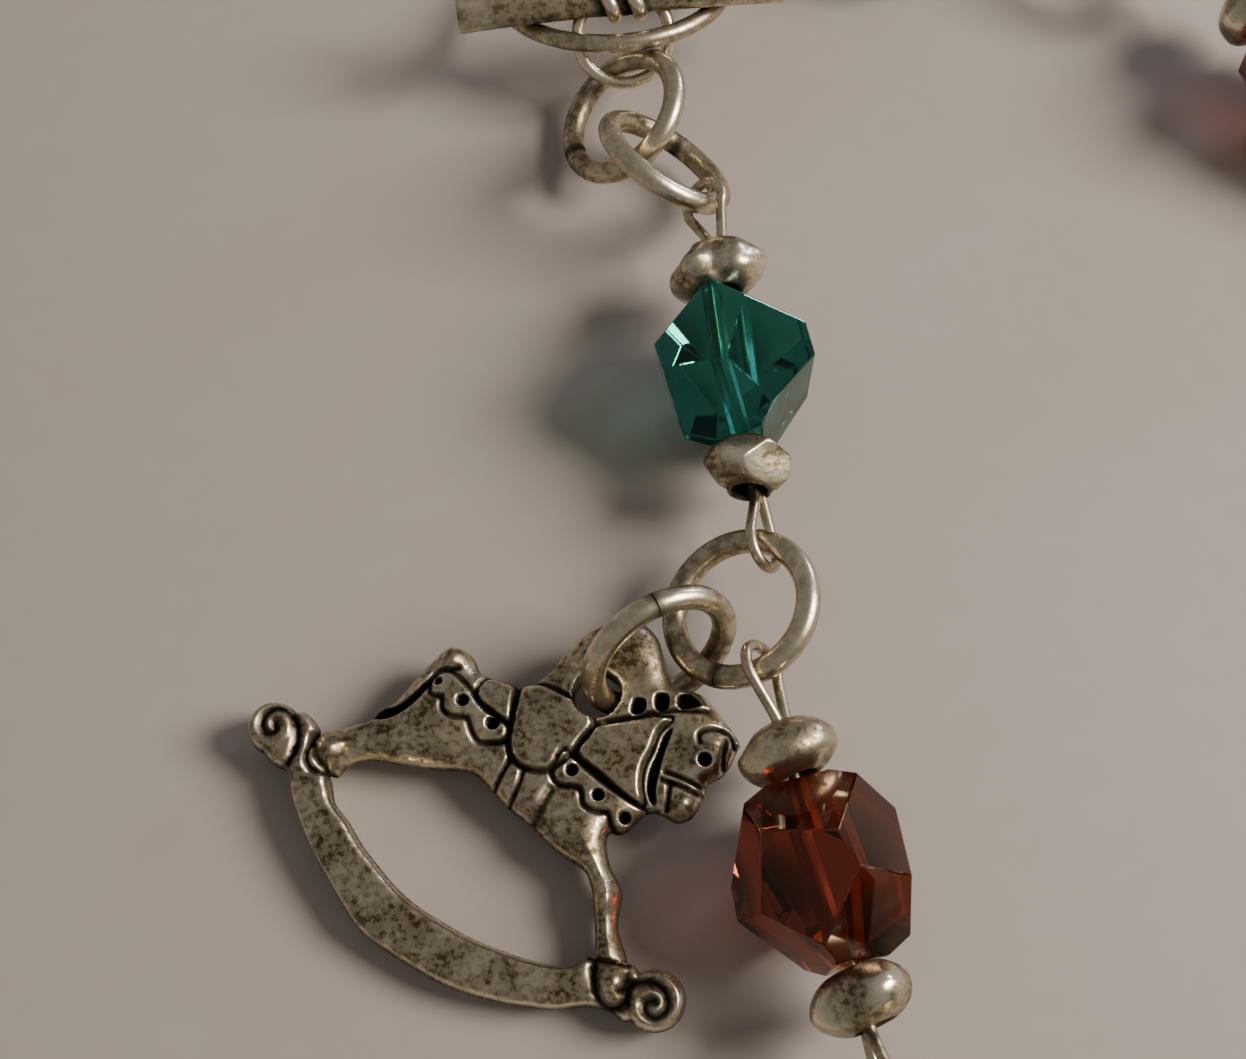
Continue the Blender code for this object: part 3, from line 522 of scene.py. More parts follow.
# Glass beads. Pressed and polished crystal in a twisted cut, green and deep red in turn, bored
# along the middle. A thin warm coating lies over the facets, and the bore is ground matt.
def glass_material(name, tint, deep, frost, gleam, coat):
    """Streaked, polished glass whose reflections take the gleam's colour; its bore is frosted."""
    material = bpy.data.materials.new(name)
    material.use_nodes = True
    tree = material.node_tree
    shader = tree.nodes["Principled BSDF"]
    shader.inputs["Metallic"].default_value = 0.0
    shader.inputs["Transmission Weight"].default_value = 1.0
    shader.inputs["IOR"].default_value = 1.52
    shader.inputs["Specular Tint"].default_value = (*gleam, 1.0)
    shader.inputs["Coat Weight"].default_value = coat
    shader.inputs["Coat Roughness"].default_value = 0.03
    shader.inputs["Coat Tint"].default_value = (0.90, 0.86, 0.62, 1.0)
    place = tree.nodes.new("ShaderNodeTexCoord")
    streaks = tree.nodes.new("ShaderNodeTexNoise")
    streaks.inputs["Scale"].default_value = 260.0
    streaks.inputs["Detail"].default_value = 3.0
    tree.links.new(place.outputs["Object"], streaks.inputs["Vector"])
    blend = rgba_mix(tree, streaks.outputs["Fac"], tint, deep)
    bored = tree.nodes.new("ShaderNodeAttribute")
    bored.attribute_name = "bore"
    drilled = rgba_mix(tree, bored.outputs["Fac"], blend, frost)
    tree.links.new(drilled, shader.inputs["Base Color"])
    polish = tree.nodes.new("ShaderNodeMapRange")
    polish.inputs["To Min"].default_value = 0.01
    polish.inputs["To Max"].default_value = 0.05
    tree.links.new(streaks.outputs["Fac"], polish.inputs["Value"])
    ground = tree.nodes.new("ShaderNodeMath")
    ground.operation = "MULTIPLY_ADD"
    ground.inputs[1].default_value = 0.30
    tree.links.new(bored.outputs["Fac"], ground.inputs[0])
    tree.links.new(polish.outputs["Result"], ground.inputs[2])
    tree.links.new(ground.outputs[0], shader.inputs["Roughness"])
    return material


bead_glass = {
    "green_glass": glass_material("green glass", tint=(0.030, 0.235, 0.185),
                                  deep=(0.005, 0.085, 0.075), frost=(0.45, 0.90, 0.80),
                                  gleam=(0.30, 0.90, 0.78), coat=0.10),
    "red_glass": glass_material("red glass", tint=(0.27, 0.038, 0.018),
                                deep=(0.07, 0.010, 0.006), frost=(0.95, 0.60, 0.35),
                                gleam=(0.95, 0.62, 0.45), coat=0.20),
}
EDGE_POLISH = 0.07 * MM
EDGES_FROM_AXIS = 1.0 * MM
FROSTED_REACH = 0.65 * MM
ONE_FACET = math.radians(0.6)
for index, number in enumerate(link_numbers):
    node_name = "bead_" + number
    cut = bmesh.new()
    cut.from_mesh(nodes[node_name].data)
    bmesh.ops.remove_doubles(cut, verts=cut.verts, dist=0.001 * MM)
    bmesh.ops.dissolve_limit(cut, angle_limit=ONE_FACET, verts=cut.verts, edges=cut.edges)
    middle, along, reach = link_pose(number)
    sharp = []
    for edge in cut.edges:
        off_axis = [((v.co - middle) - along * (v.co - middle).dot(along)).length for v in edge.verts]
        if min(off_axis) > EDGES_FROM_AXIS:
            sharp.append(edge)
    bmesh.ops.bevel(cut, geom=sharp, offset=EDGE_POLISH, segments=2, profile=0.5,
                    affect="EDGES", clamp_overlap=True)
    bmesh.ops.recalc_face_normals(cut, faces=cut.faces)
    mesh = bpy.data.meshes.new(node_name + "_glass")
    cut.to_mesh(mesh)
    cut.free()
    away = split_along(points_of(mesh), middle, along)[1]
    set_attribute(mesh, "bore", np.linalg.norm(away, axis=1) < FROSTED_REACH)
    colour = "red_glass" if index % 2 else "green_glass"
    mesh.materials.append(bead_glass[colour])
    fit_piece(node_name + "_glass", mesh, colour, node_name)


# Rocking horse. A flat cast charm: the horse stands on a crescent rocker that curls into a scroll
# at each end. Saddle, blankets, bridle and scrolls are raised or engraved, with black oxide in
# the lines. It hangs by the bore of the bail above its back, and both faces have the same relief.
HORSE_LENGTH = 24.2    # in millimetres, as all the charm's sizes are
HORSE_HEIGHT = 18.4
HORSE_CELL = 0.075
HORSE_GRID = {"left": -0.55, "right": 0.56, "bottom": -0.31, "top": 0.82}
PLATE = 1.0
RELIEF = 0.35
SADDLE_LAYERS = 1.6
BODY_EDGE = {"height": PLATE, "rounding": 1.35}
ROCKER_EDGE = {"height": PLATE * 0.92, "rounding": 0.42}
SCROLL_EDGE = {"height": PLATE * 1.04, "rounding": 0.45}
BAIL_LIP = {"height": 1.3, "rounding": 0.16}
BAIL_LIP_WIDTH = 0.3
ENGRAVING = 0.12
LINE_DEPTH = 0.30
PATCH_LINE_DEPTH = 0.24
GAP_FLOOR = 0.45
PIT_FLOOR = 0.5

# Places on the charm are in percent of its length and height.
HORSE_BODY = [
    (-33.1, -0.9), (-35.6, 0.8), (-37.1, 4.0), (-37.0, 7.4), (-35.1, 9.5), (-32.9, 13.2),
    (-30.8, 16.6), (-30.6, 19.6), (-29.1, 24.2), (-28.7, 30.1), (-28.3, 36.5), (-27.2, 43.0),
    (-25.6, 45.1), (-23.3, 45.7), (-20.9, 44.8), (-19.0, 43.2), (-16.2, 43.7), (-10.6, 46.0),
    (-8.7, 48.1), (-7.4, 54.0), (-7.3, 58.5), (-7.0, 63.0), (-5.8, 68.5), (-3.8, 73.5),
    (-0.8, 77.2), (2.6, 78.4), (6.2, 77.2), (9.4, 74.0), (12.0, 71.0), (14.2, 69.4), (16.6, 69.7),
    (20.3, 71.3), (27.5, 68.6), (31.5, 66.4), (32.1, 64.1), (32.7, 57.5), (31.2, 53.1),
    (31.8, 50.0), (32.4, 44.5), (31.6, 41.8), (30.2, 40.1), (26.6, 39.5), (24.7, 37.4),
    (23.7, 31.4), (22.4, 29.2), (21.1, 28.6), (21.5, 26.2), (24.6, 22.0), (27.4, 20.1),
    (29.9, 17.8), (32.0, 12.2), (33.9, 9.2), (38.2, 4.8), (37.3, 0.3), (33.1, 0.1), (31.8, 2.4),
    (29.8, 6.3), (25.6, 12.9), (23.4, 15.6), (20.8, 17.2), (14.0, 17.0), (7.9, 18.4), (2.0, 18.7),
    (-3.5, 20.2), (-6.5, 20.8), (-9.2, 20.1), (-15.6, 14.9), (-24.2, 9.5), (-27.5, 6.3),
    (-28.9, 3.0), (-29.3, -0.5),
]
HORSE_ROCKER = [
    (-37.8, -6.8), (-34.0, -11.3), (-28.9, -15.6), (-23.4, -19.4), (-18.1, -22.3), (-11.8, -25.6),
    (-6.7, -27.5), (-0.6, -27.5), (5.8, -26.8), (12.0, -25.7), (18.1, -23.3), (23.8, -20.3),
    (28.0, -17.4), (32.1, -14.3), (36.8, -9.0), (41.1, -7.0), (44.3, -6.4), (45.0, 0.5),
    (39.5, 5.5), (32.0, 1.5), (30.4, -1.4), (28.5, -4.6), (24.8, -7.2), (20.8, -9.2),
    (15.2, -11.3), (10.1, -12.8), (5.2, -13.5), (-0.6, -14.1), (-6.2, -13.6), (-11.4, -12.1),
    (-16.8, -10.2), (-21.5, -7.7), (-26.1, -6.0), (-28.4, -3.6), (-30.7, -1.1), (-37.0, 3.0),
    (-37.6, 6.4), (-39.2, 7.6), (-41.4, 8.2), (-43.6, 7.6), (-45.5, 2.0), (-45.0, -5.2),
    (-42.6, -7.0), (-40.4, -7.2),
]
HORSE_PATCHES = {
    "rump_patch": [(-15.9, 37.0), (-16.5, 42.9), (-14.0, 44.4), (-11.1, 45.1), (-8.7, 40.7),
                   (-6.6, 36.3), (-11.1, 36.3)],
    "saddle": [(-10.0, 46.6), (-8.2, 41.2), (-7.0, 36.6), (-5.2, 32.7), (-3.0, 29.8),
               (-0.4, 29.0), (2.3, 30.0), (4.8, 32.4), (5.9, 35.8), (6.7, 39.7), (6.6, 43.3),
               (6.7, 48.4), (2.7, 50.6), (-3.3, 50.1), (-7.3, 49.1)],
    "neck_sheet": [(7.1, 48.3), (9.3, 51.5), (12.0, 54.9), (15.2, 58.9), (18.3, 61.1),
                   (18.3, 59.4), (17.9, 55.9), (18.9, 51.2), (19.4, 46.5), (21.3, 42.2),
                   (23.5, 39.3), (22.2, 38.0), (18.7, 38.0), (13.3, 38.9), (7.3, 39.7),
                   (7.0, 44.2)],
    "scallop_edge": [(5.1, 38.6), (5.1, 35.0), (5.4, 32.4), (8.0, 30.7), (11.7, 33.1),
                     (14.1, 30.4), (16.5, 30.4), (19.0, 32.1), (20.9, 30.0), (23.3, 30.0),
                     (24.1, 35.1), (24.5, 38.1), (16.7, 37.5), (9.7, 38.1)],
    "rump_scallops": [(-25.3, 35.6), (-23.4, 30.7), (-21.1, 31.7), (-19.3, 29.2),
                      (-16.9, 29.2), (-14.6, 31.2), (-12.2, 29.2), (-9.8, 28.0), (-7.6, 29.5),
                      (-5.7, 32.2), (-6.5, 35.6), (-12.6, 35.5), (-17.1, 37.4), (-22.9, 38.5)],
}
PATCH_RISE = {"rump_patch": 0.16, "saddle": 0.34, "neck_sheet": 0.30, "scallop_edge": 0.20,
              "rump_scallops": 0.18}
HORSE_LINES = {
    "tail": [(-22.1, 40.4), (-23.7, 38.1), (-24.9, 35.3), (-25.5, 32.1), (-25.2, 28.6),
             (-25.9, 24.1), (-27.7, 19.9), (-30.3, 17.9)],
    "girth_back": [(-2.7, 29.3), (-2.4, 24.7), (-2.0, 19.9)],
    "girth_front": [(0.4, 29.1), (1.6, 24.9), (2.3, 18.9)],
    "ear_top": [(25.6, 60.0), (24.6, 61.5), (25.2, 63.5), (27.0, 65.3), (29.3, 66.1),
                (31.5, 64.1)],
    "brow": [(29.6, 64.3), (30.6, 61.3), (32.1, 57.9)],
    "bridle_upper": [(23.3, 48.8), (26.7, 50.0), (30.5, 51.0)],
    "bridle_lower": [(23.6, 46.7), (27.2, 48.1), (30.9, 49.0)],
    "bridle_strap": [(25.4, 47.1), (26.4, 44.7), (27.7, 41.3)],
    "mane_root": [(8.3, 50.7), (11.8, 55.5), (14.9, 59.7), (18.7, 63.9), (23.0, 67.7)],
    "scroll_back": [(-38.0, -5.0), (-39.0, -0.2), (-41.3, 3.9), (-44.5, 5.6), (-47.0, 4.6),
                    (-47.9, 1.8), (-47.2, -0.9), (-45.4, -1.9), (-44.3, -0.2), (-45.3, 1.4)],
    "scroll_front": [(40.4, -1.6), (41.3, 1.2), (43.4, 3.9), (46.0, 4.7), (48.3, 3.3), (49.1, 0.6),
                     (48.2, -2.1), (46.3, -2.3), (45.3, -0.4), (46.4, 1.2)],
    "front_cuff": [(31.6, 0.2), (35.0, 2.0), (38.8, 4.4)],
    "front_hoof": [(33.0, 0.6), (34.8, -2.8), (37.2, -5.8), (40.2, -6.6), (42.0, -4.0),
                   (41.2, -0.4), (39.4, 2.6)],
    "hind_hoof": [(-37.6, 5.6), (-36.3, 0.0), (-33.6, -2.6), (-29.6, -0.6)],
    "chest_fold": [(7.3, 28.5), (7.6, 24.4), (8.1, 19.7)],
}
BROAD_LINES = {"scroll_back": 1.9, "scroll_front": 1.9, "front_hoof": 1.9, "chest_fold": 2.0}
FAINT_LINES = {"chest_fold": 0.7}
HORSE_GAPS = {
    "tail_shade": [(-30.6, 17.3), (-28.2, 18.5), (-26.2, 22.1), (-25.1, 27.1), (-24.7, 32.6),
                   (-25.9, 32.6), (-26.7, 27.5), (-27.9, 22.9), (-30.3, 20.3)],
    "behind_head": [(19.6, 58.9), (19.1, 55.8), (19.9, 51.7), (20.8, 46.6), (22.4, 42.4),
                    (24.3, 40.3), (25.3, 40.9), (23.8, 43.7), (22.4, 47.7), (21.1, 52.4)],
    "mane_slot_a": [(11.3, 56.3), (13.1, 58.7), (11.9, 61.1), (10.1, 59.7)],
    "mane_slot_b": [(14.9, 60.7), (16.5, 62.7), (14.9, 65.7), (13.1, 63.7)],
    "mane_slot_c": [(18.1, 64.5), (20.1, 66.1), (21.3, 68.5), (18.3, 69.3), (16.7, 67.5)],
}
HORSE_PITS = [
    {"x": -23.6, "y": 34.4, "radius": 0.17}, {"x": -17.2, "y": 34.0, "radius": 0.27},
    {"x": -9.7, "y": 33.7, "radius": 0.30}, {"x": 8.5, "y": 35.5, "radius": 0.27},
    {"x": 15.5, "y": 34.2, "radius": 0.27}, {"x": 22.2, "y": 33.4, "radius": 0.27},
    {"x": 28.3, "y": 57.1, "radius": 0.29},
]
HORSE_SCROLLS = [
    {"x": -45.6, "y": 0.3, "radius": 1.27}, {"x": 46.2, "y": 1.6, "radius": 1.40},
]
BAIL_BORE = {"x": 3.4, "y": 55.5, "radius": 1.12}
HORSE_BALLS = [
    {"x": -33.0, "y": 3.6, "radius": 0.90, "proud": 0.45},
    {"x": -36.2, "y": -3.2, "radius": 0.75, "proud": 0.30},
    {"x": -30.7, "y": -3.6, "radius": 0.62, "proud": 0.22},
    {"x": 38.2, "y": -1.8, "radius": 0.98, "proud": 0.55},
    {"x": 30.4, "y": 44.9, "radius": 0.55, "proud": 0.24},
    {"x": 28.2, "y": 58.6, "radius": 1.30, "proud": 0.22},
    {"x": 27.3, "y": 14.1, "radius": 0.80, "proud": 0.28},
    {"x": 18.3, "y": 23.1, "radius": 1.90, "proud": 0.32},
    {"x": -19.3, "y": 24.1, "radius": 2.30, "proud": 0.32},
    {"x": -25.2, "y": 42.6, "radius": 0.85, "proud": 0.30},
]


def charm_spots(table):
    """Percent of the charm's length and height to millimetres, as a smooth line's points."""
    return [Vector((x / 100 * HORSE_LENGTH, y / 100 * HORSE_HEIGHT, 0)) for x, y in table]


def grid_distance(cells, line, closed):
    """Distance of every cell corner to a line, negative inside a closed one."""
    spots = np.array([(p.x, p.y) for p in line])
    ends = np.roll(spots, -1, axis=0) if closed else spots[1:]
    starts = spots if closed else spots[:-1]
    nearest = np.full(len(cells), 1e9)
    inside = np.zeros(len(cells), dtype=bool)
    for start, end in zip(starts, ends):
        run = end - start
        span = run @ run
        if span < 1e-12:
            continue
        share = np.clip(((cells - start) @ run) / span, 0, 1)
        gap = cells - start - share[:, None] * run
        nearest = np.minimum(nearest, (gap * gap).sum(axis=1))
        if closed and start[1] != end[1]:
            crossing = (start[1] > cells[:, 1]) != (end[1] > cells[:, 1])
            at = start[0] + (cells[:, 1] - start[1]) / (end[1] - start[1]) * run[0]
            inside ^= crossing & (cells[:, 0] < at)
    nearest = np.sqrt(nearest)
    return np.where(inside, -nearest, nearest) if closed else nearest


def depth_inside(cells, table):
    """Depth of every cell corner inside a closed outline, negative outside it."""
    return -grid_distance(cells, smooth_through(charm_spots(table), 3, True), True)


def reach_from(cells, spot):
    """Distance of every cell corner from the middle of a round form."""
    middle = np.array([spot["x"] / 100 * HORSE_LENGTH, spot["y"] / 100 * HORSE_HEIGHT])
    return np.linalg.norm(cells - middle, axis=1)


def cast_edge(depth, edge):
    """Height over a cast edge: rises steeply, then levels where its rounding ends."""
    rise = np.clip(depth / edge["rounding"], 0, 1)
    return edge["height"] * np.sqrt(np.clip(1 - (1 - rise) ** 2, 0, 1))


def eased(value, low, high):
    """From 0 at low to 1 at high, level at both ends."""
    share = np.clip((value - low) / (high - low), 0, 1)
    return share * share * (3 - 2 * share)


def horse_fields(xs, ys):
    """Height, depth inside the outline, and soot and painted shade over the grid of the charm."""
    cells = np.stack([a.ravel() for a in np.meshgrid(xs, ys)], axis=1)
    body = depth_inside(cells, HORSE_BODY)
    rocker = depth_inside(cells, HORSE_ROCKER)
    depth = np.maximum(body, rocker)
    height = np.maximum(cast_edge(body, BODY_EDGE), cast_edge(rocker, ROCKER_EDGE))
    for scroll in HORSE_SCROLLS:
        disc = scroll["radius"] - reach_from(cells, scroll)
        depth = np.maximum(depth, disc)
        height = np.maximum(height, cast_edge(disc, SCROLL_EDGE))
    for ball in HORSE_BALLS:
        share = reach_from(cells, ball) / ball["radius"]
        height += ball["proud"] * eased(-share, -1.25, -0.1) * (height > 0.3)
    soot_and_shade = np.zeros(len(cells))
    for name, table in HORSE_PATCHES.items():
        inside = np.where(depth > 0.05, depth_inside(cells, table), -1.0)
        height += PATCH_RISE[name] * eased(inside, -0.02, 0.22)
        line = np.exp(-(np.abs(inside + 0.03) / ENGRAVING) ** 2)
        height -= PATCH_LINE_DEPTH * line * (depth > 0.05)
        soot_and_shade = np.maximum(soot_and_shade, line)
    for name, table in HORSE_LINES.items():
        away = grid_distance(cells, smooth_through(charm_spots(table), 5), False)
        line = np.exp(-(away / (ENGRAVING * BROAD_LINES.get(name, 1.0))) ** 2)
        height -= LINE_DEPTH * line
        soot_and_shade = np.maximum(soot_and_shade, line * FAINT_LINES.get(name, 1.0))
    # Each gap is sunk and painted black; under the tail this black is painted shade.
    for table in HORSE_GAPS.values():
        inside = depth_inside(cells, table)
        sunk = eased(inside, -0.06, 0.10)
        height = height * (1 - sunk) + GAP_FLOOR * sunk * (height > 0.4)
        soot_and_shade = np.maximum(soot_and_shade, eased(inside, -0.12, 0.04))
    for pit in HORSE_PITS:
        inside = pit["radius"] - reach_from(cells, pit)
        sunk = eased(inside, -0.06, 0.06)
        height = height * (1 - sunk) + PIT_FLOOR * sunk
        soot_and_shade = np.maximum(soot_and_shade, eased(inside, -0.08, 0.0))
    away = reach_from(cells, BAIL_BORE) - BAIL_BORE["radius"]
    depth = np.minimum(depth, away)
    lip = np.where(away < BAIL_LIP_WIDTH, cast_edge(away, BAIL_LIP), np.inf)
    height = np.minimum(height, lip)
    soot_and_shade = np.maximum(soot_and_shade, 0.25 * eased(-away, -0.10, -0.02))
    grain = np.array([noise.noise(Vector((x * 1.4, y * 1.4, 3.0))) for x, y in cells])
    height += 0.035 * grain * (height > 0.5)
    return cells, height, depth, soot_and_shade


def horse_mesh(place):
    """Both faces of the charm from one grid, its rim moved onto the outline."""
    xs = np.arange(HORSE_GRID["left"] * HORSE_LENGTH, HORSE_GRID["right"] * HORSE_LENGTH, HORSE_CELL)
    ys = np.arange(HORSE_GRID["bottom"] * HORSE_HEIGHT, HORSE_GRID["top"] * HORSE_HEIGHT, HORSE_CELL)
    cells, height, depth, soot_and_shade = horse_fields(xs, ys)
    wide, tall = len(xs), len(ys)
    field = depth.reshape(tall, wide)
    slope_y, slope_x = np.gradient(field, HORSE_CELL)
    centre_depth = (field[:-1, :-1] + field[1:, :-1] + field[:-1, 1:] + field[1:, 1:]) / 4
    kept = centre_depth > 0
    whole = np.zeros((tall + 1, wide + 1), dtype=int)
    whole[1:-1, 1:-1] = kept
    around = whole[:-1, :-1] + whole[1:, :-1] + whole[:-1, 1:] + whole[1:, 1:]
    rim = (around > 0) & (around < 4)
    steep = np.clip(slope_x ** 2 + slope_y ** 2, 0.25, None)
    shift = np.where(rim, -field / steep, 0)
    shift = np.clip(shift, -1.2 * HORSE_CELL, 1.2 * HORSE_CELL)
    px = cells[:, 0] + (shift * slope_x).ravel()
    py = cells[:, 1] + (shift * slope_y).ravel()
    pz = np.where(rim.ravel(), 0.0, np.maximum(height, 0.05))
    bend = pz.reshape(tall, wide)
    curve = (np.roll(bend, 2, 0) + np.roll(bend, -2, 0) + np.roll(bend, 2, 1)
             + np.roll(bend, -2, 1)) / 4 - bend
    hollow = np.clip(curve.ravel() * 5.0, 0, 0.8)
    crown = np.clip(-curve.ravel() * 5.0, 0, 1)
    used = around.ravel() > 0
    front = -np.ones(len(px), dtype=int)
    front[used] = np.arange(used.sum())
    back = front.copy()
    inner = used & ~rim.ravel()
    back[inner] = used.sum() + np.arange(inner.sum())
    faces = []
    for row, column in zip(*np.nonzero(kept)):
        a = row * wide + column
        corners = (a, a + 1, a + wide + 1, a + wide)
        faces.append(tuple(front[c] for c in corners))
        faces.append(tuple(back[c] for c in reversed(corners)))
    top = np.stack([px[used], py[used], pz[used]], axis=1)
    under = np.stack([px[inner], py[inner], -pz[inner]], axis=1)
    spots = np.concatenate([top, under]) * MM
    mesh = surface_mesh("rocking_horse_cast", spots, faces)
    mesh.transform(place)
    recess = np.maximum(soot_and_shade, hollow)
    set_attribute(mesh, "recess", np.clip(np.concatenate([recess[used], recess[inner]]), 0, 1))
    set_attribute(mesh, "rub_and_sheen", np.concatenate([crown[used], crown[inner]]))
    mesh.materials.append(silver_material("charm silver", grain=650.0, tarnish=0.97,
                                          bump=0.05 * MM))
    return mesh


saddle_mount = next(m for m in frame["record"]["mounts"] if m["name"] == "horse_saddle")
face_up = Vector(saddle_mount["axis"]).normalized()
to_front = -face_up.cross(Vector((0, 0, 1))).normalized()
turned = Matrix((to_front, face_up.cross(to_front), face_up)).transposed()
SADDLE_TOP = PLATE + SADDLE_LAYERS * RELIEF
SADDLE_SPOT = Vector((-0.010 * HORSE_LENGTH, 0.400 * HORSE_HEIGHT, SADDLE_TOP)) * MM
charm_place = Matrix.Translation(Vector(saddle_mount["pos_m"]) - turned @ SADDLE_SPOT)
charm_place = charm_place @ turned.to_4x4()
fit_piece("rocking_horse_cast", horse_mesh(charm_place), "silver", "rocking_horse")


# Toggle clasp. A cast bar with squared, flared ends and two slanting collars at its middle lies
# across a plain ring. The loop at its middle holds the first jump ring.
TOGGLE_RING_WIRE = 1.0 * MM
TOGGLE_RING_POINTS = 128
clasp_silver = silver_material("clasp silver", grain=600.0, tarnish=0.90, bump=0.05 * MM)
centre, axis, radius = ring_pose("toggle_ring")
along, across = ring_plane(axis)
route = [ring_point(centre, radius, along, across, turn)
         for turn in np.linspace(0, 2 * math.pi, TOGGLE_RING_POINTS, endpoint=False)]
mesh = wire_mesh("toggle_ring_cast", route, TOGGLE_RING_WIRE, sides=18, step=0.3 * MM,
                 material=clasp_silver, closed=True)
set_attribute(mesh, "rub_and_sheen", np.full(len(mesh.vertices), 0.3))
fit_piece("toggle_ring_cast", mesh, "silver", "toggle_ring")

bar_points = node_points("toggle_bar")
bar_mean = bar_points.mean(axis=0)
axes = np.linalg.eigh((bar_points - bar_mean).T @ (bar_points - bar_mean))[1]
bar_along = Vector(axes[:, 2])
if bar_along.x < 0:
    bar_along = -bar_along
reach = (bar_points - bar_mean) @ np.array(bar_along)
bar_half = (reach.max() - reach.min()) / 2
tips = bar_points[np.abs(reach - (reach.max() + reach.min()) / 2) > 0.7 * bar_half]
bar_middle = Vector(tips.mean(axis=0))
tip_reach = (tips - np.array(bar_middle)) @ np.array(bar_along)
bar_middle = bar_middle + bar_along * ((tip_reach.max() + tip_reach.min()) / 2)
away = split_along(bar_points, bar_middle, bar_along)[1]
stem_way = Vector(away.sum(axis=0)).normalized()
stem_reach = (away @ np.array(stem_way)).max()
bar_normal = bar_along.cross(stem_way)

# Out is the share of the bar's half length, half is half the bar's width in millimetres, and square
# runs from a round section at 0 to a squared one at 1.
BAR_ROWS = [
    {"out": 0.00, "half": 0.86, "square": 0.55}, {"out": 0.16, "half": 0.78, "square": 0.60},
    {"out": 0.30, "half": 0.80, "square": 0.65}, {"out": 0.60, "half": 0.84, "square": 0.75},
    {"out": 0.88, "half": 0.93, "square": 0.80}, {"out": 0.985, "half": 0.97, "square": 0.80},
    {"out": 1.00, "half": 0.90, "square": 0.80},
]
BAR_SIDES = 32
BAR_SQUARING = 0.55
BAR_DEPTH = 0.95
STEM_WIRE = 0.7 * MM
STEM_LOOP = 2.55 * MM
STEM_POINTS = 64
COLLAR = {"place": 0.70, "slant": 0.35, "radius": 0.82, "wire": 0.85}    # in millimetres
COLLAR_POINTS = 48
rows = [(-r["out"], r["half"], r["square"]) for r in BAR_ROWS[::-1]]
rows += [(r["out"], r["half"], r["square"]) for r in BAR_ROWS[1:]]
fine_rows = smooth_through([Vector(r) for r in rows], 6)
spots = []
for row in fine_rows:
    for k in range(BAR_SIDES):
        turn = 2 * math.pi * k / BAR_SIDES
        power = 1 - BAR_SQUARING * min(max(row.z, 0), 1)
        u = math.copysign(abs(math.cos(turn)) ** power, math.cos(turn)) * row.y * MM
        v = math.copysign(abs(math.sin(turn)) ** power, math.sin(turn)) * row.y * BAR_DEPTH * MM
        spots.append(bar_middle + bar_along * (row.x * bar_half) + stem_way * u + bar_normal * v)
faces = [tuple(range(BAR_SIDES))[::-1]]
for row in range(len(fine_rows) - 1):
    for k in range(BAR_SIDES):
        m = (k + 1) % BAR_SIDES
        a = row * BAR_SIDES
        faces.append((a + k, a + m, a + BAR_SIDES + m, a + BAR_SIDES + k))
faces.append(tuple(range((len(fine_rows) - 1) * BAR_SIDES, len(fine_rows) * BAR_SIDES)))
bar_mesh = surface_mesh("toggle_bar_cast", spots, faces)
bar_mesh.materials.append(clasp_silver)
build_up = bmesh.new()
build_up.from_mesh(bar_mesh)
bmesh.ops.recalc_face_normals(build_up, faces=build_up.faces)
loop_middle = stem_reach - STEM_LOOP - STEM_WIRE / 2
loop_route = []
for step in range(STEM_POINTS):
    turn = 2 * math.pi * step / STEM_POINTS
    loop_route.append(bar_middle + stem_way * (loop_middle + STEM_LOOP * math.cos(turn))
                      + bar_along * (STEM_LOOP * math.sin(turn)))
extras = [wire_mesh("stem_loop", loop_route, STEM_WIRE, sides=14, step=0.2 * MM,
                    material=clasp_silver, closed=True)]
for place in (-COLLAR["place"], COLLAR["place"]):
    collar = []
    for step in range(COLLAR_POINTS):
        turn = 2 * math.pi * step / COLLAR_POINTS
        slip = place + COLLAR["slant"] * math.cos(turn)
        round_bar = stem_way * math.cos(turn) + bar_normal * math.sin(turn)
        collar.append(bar_middle + bar_along * (slip * MM) + round_bar * COLLAR["radius"] * MM)
    extras.append(wire_mesh("collar", collar, COLLAR["wire"] * MM, sides=14, step=0.2 * MM,
                            material=clasp_silver, closed=True))
for extra in extras:
    build_up.from_mesh(extra)
build_up.to_mesh(bar_mesh)
build_up.free()
place, away = split_along(points_of(bar_mesh), bar_middle, bar_along)
off_axis = np.linalg.norm(away, axis=1)
# Painted shade: near the bar's middle, its surface and the collars' inner sides are painted dark, as
# shade beside and under the collars.
collar_shade = np.exp(-((np.abs(place) / MM - 0.62) / 1.3) ** 2) * (off_axis < 0.95 * MM)
set_attribute(bar_mesh, "recess", np.clip(collar_shade, 0, 1))
set_attribute(bar_mesh, "rub_and_sheen", np.clip((off_axis - 0.9 * MM) / (0.3 * MM), 0, 0.8))
fit_piece("toggle_bar_cast", bar_mesh, "silver", "toggle_bar")


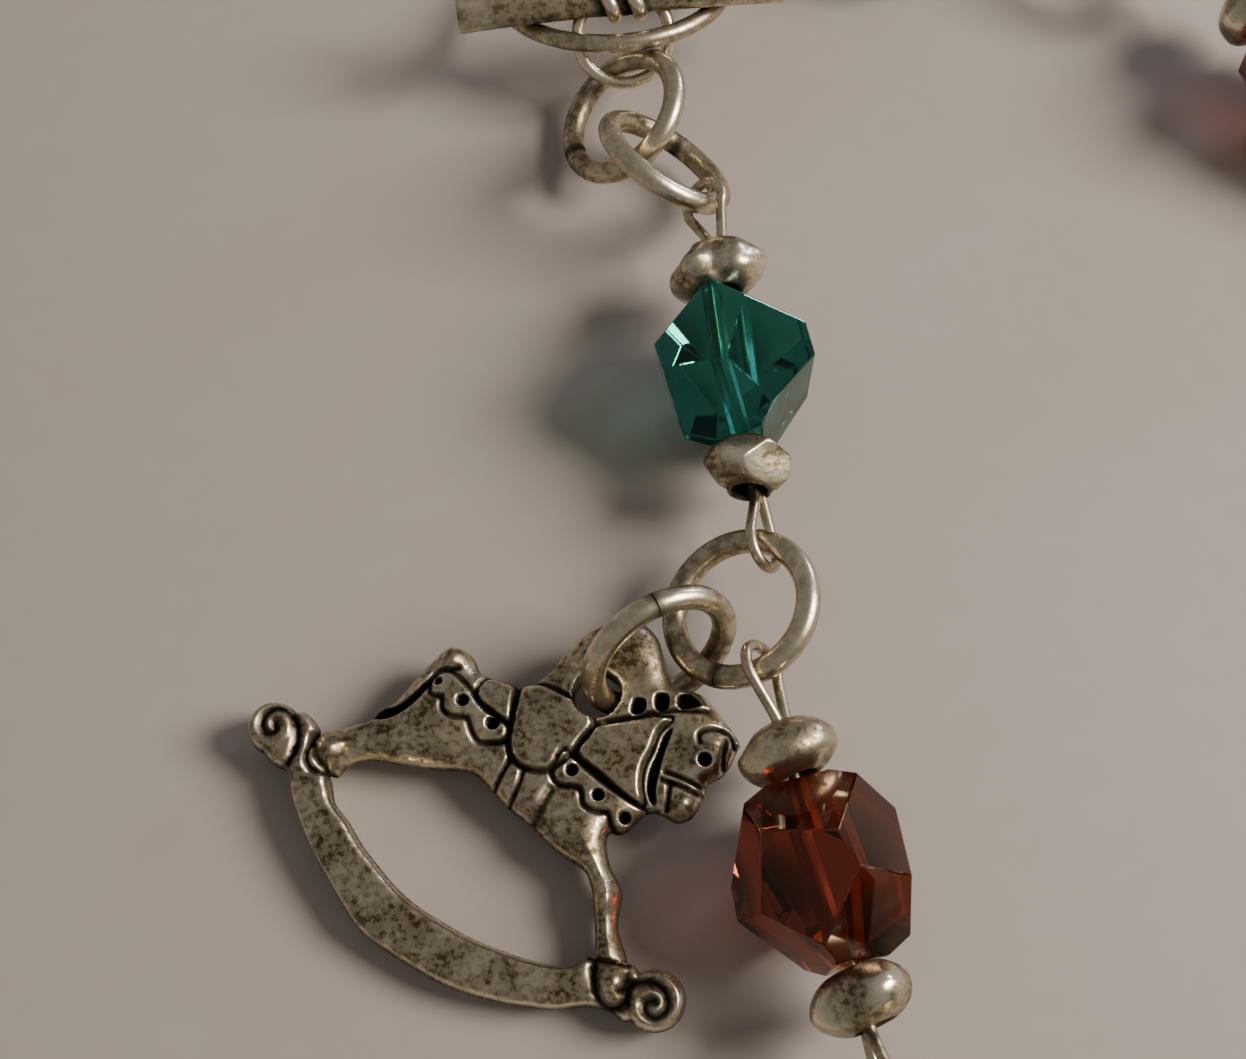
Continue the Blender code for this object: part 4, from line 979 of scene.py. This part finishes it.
# Floor. A plain sheet of pale, warm grey card that the bracelet lies on. It belongs to the picture,
# not to the bracelet.
FLOOR_SIZE = 1.6
CARD_DARK = (0.345, 0.300, 0.263)
CARD_LIGHT = (0.368, 0.321, 0.283)
bpy.ops.mesh.primitive_plane_add(size=FLOOR_SIZE, location=(0, 0, 0))
floor = bpy.context.object
floor.name = "pale_floor"
card = bpy.data.materials.new("pale card")
card.use_nodes = True
paper = card.node_tree.nodes["Principled BSDF"]
fibres = card.node_tree.nodes.new("ShaderNodeTexNoise")
fibres.inputs["Scale"].default_value = 900.0
tone = rgba_mix(card.node_tree, fibres.outputs["Fac"], CARD_DARK, CARD_LIGHT)
card.node_tree.links.new(tone, paper.inputs["Base Color"])
paper.inputs["Roughness"].default_value = 0.75
floor.data.materials.append(card)


# Light. One broad warm lamp stands on the right, a weak cool one behind it on the same side, and
# the room around them is dim.
def area_lamp(name, where, aim, size, power, colour):
    """A round area lamp that shines from where to aim."""
    lamp = bpy.data.lights.new(name, "AREA")
    lamp.shape = "DISK"
    lamp.size = size
    lamp.energy = power
    lamp.color = colour
    stand = bpy.data.objects.new(name, lamp)
    stand.location = where
    stand.rotation_euler = (Vector(aim) - Vector(where)).to_track_quat("-Z", "Y").to_euler()
    bpy.context.scene.collection.objects.link(stand)


area_lamp("key lamp", where=(0.262, 0.012, 0.213), aim=(-0.01, 0, 0), size=0.17, power=2.0,
          colour=(1.0, 0.94, 0.86))
area_lamp("cool window", where=(0.24, 0.26, 0.10), aim=(0, 0, 0), size=0.07, power=0.35,
          colour=(0.72, 0.74, 1.0))
room = bpy.data.worlds.new("dim room")
room.use_nodes = True
room.node_tree.nodes["Background"].inputs["Color"].default_value = (0.62, 0.60, 0.58, 1)
room.node_tree.nodes["Background"].inputs["Strength"].default_value = 0.43
bpy.context.scene.world = room

# Camera. It looks down at the charm from close by, as the photograph was taken, and its aim is
# set from the first red bead.
red_bead_middle = link_pose("02")[0]
AIM_FROM_RED_BEAD = Vector((-8.97, 16.89, -0.15)) * MM
CAMERA_DISTANCE = 87.7 * MM
CAMERA_RISE = math.radians(65.8)
aim = red_bead_middle + AIM_FROM_RED_BEAD
camera = bpy.data.cameras.new("camera")
camera.sensor_width = 36.0
camera.lens = 52.0
camera.clip_start = 0.005
viewer = bpy.data.objects.new("camera", camera)
viewer.location = aim + Vector((0, -math.cos(CAMERA_RISE), math.sin(CAMERA_RISE))) * CAMERA_DISTANCE
viewer.rotation_euler = (math.pi / 2 - CAMERA_RISE, 0, 0)
bpy.context.scene.collection.objects.link(viewer)
bpy.context.scene.camera = viewer
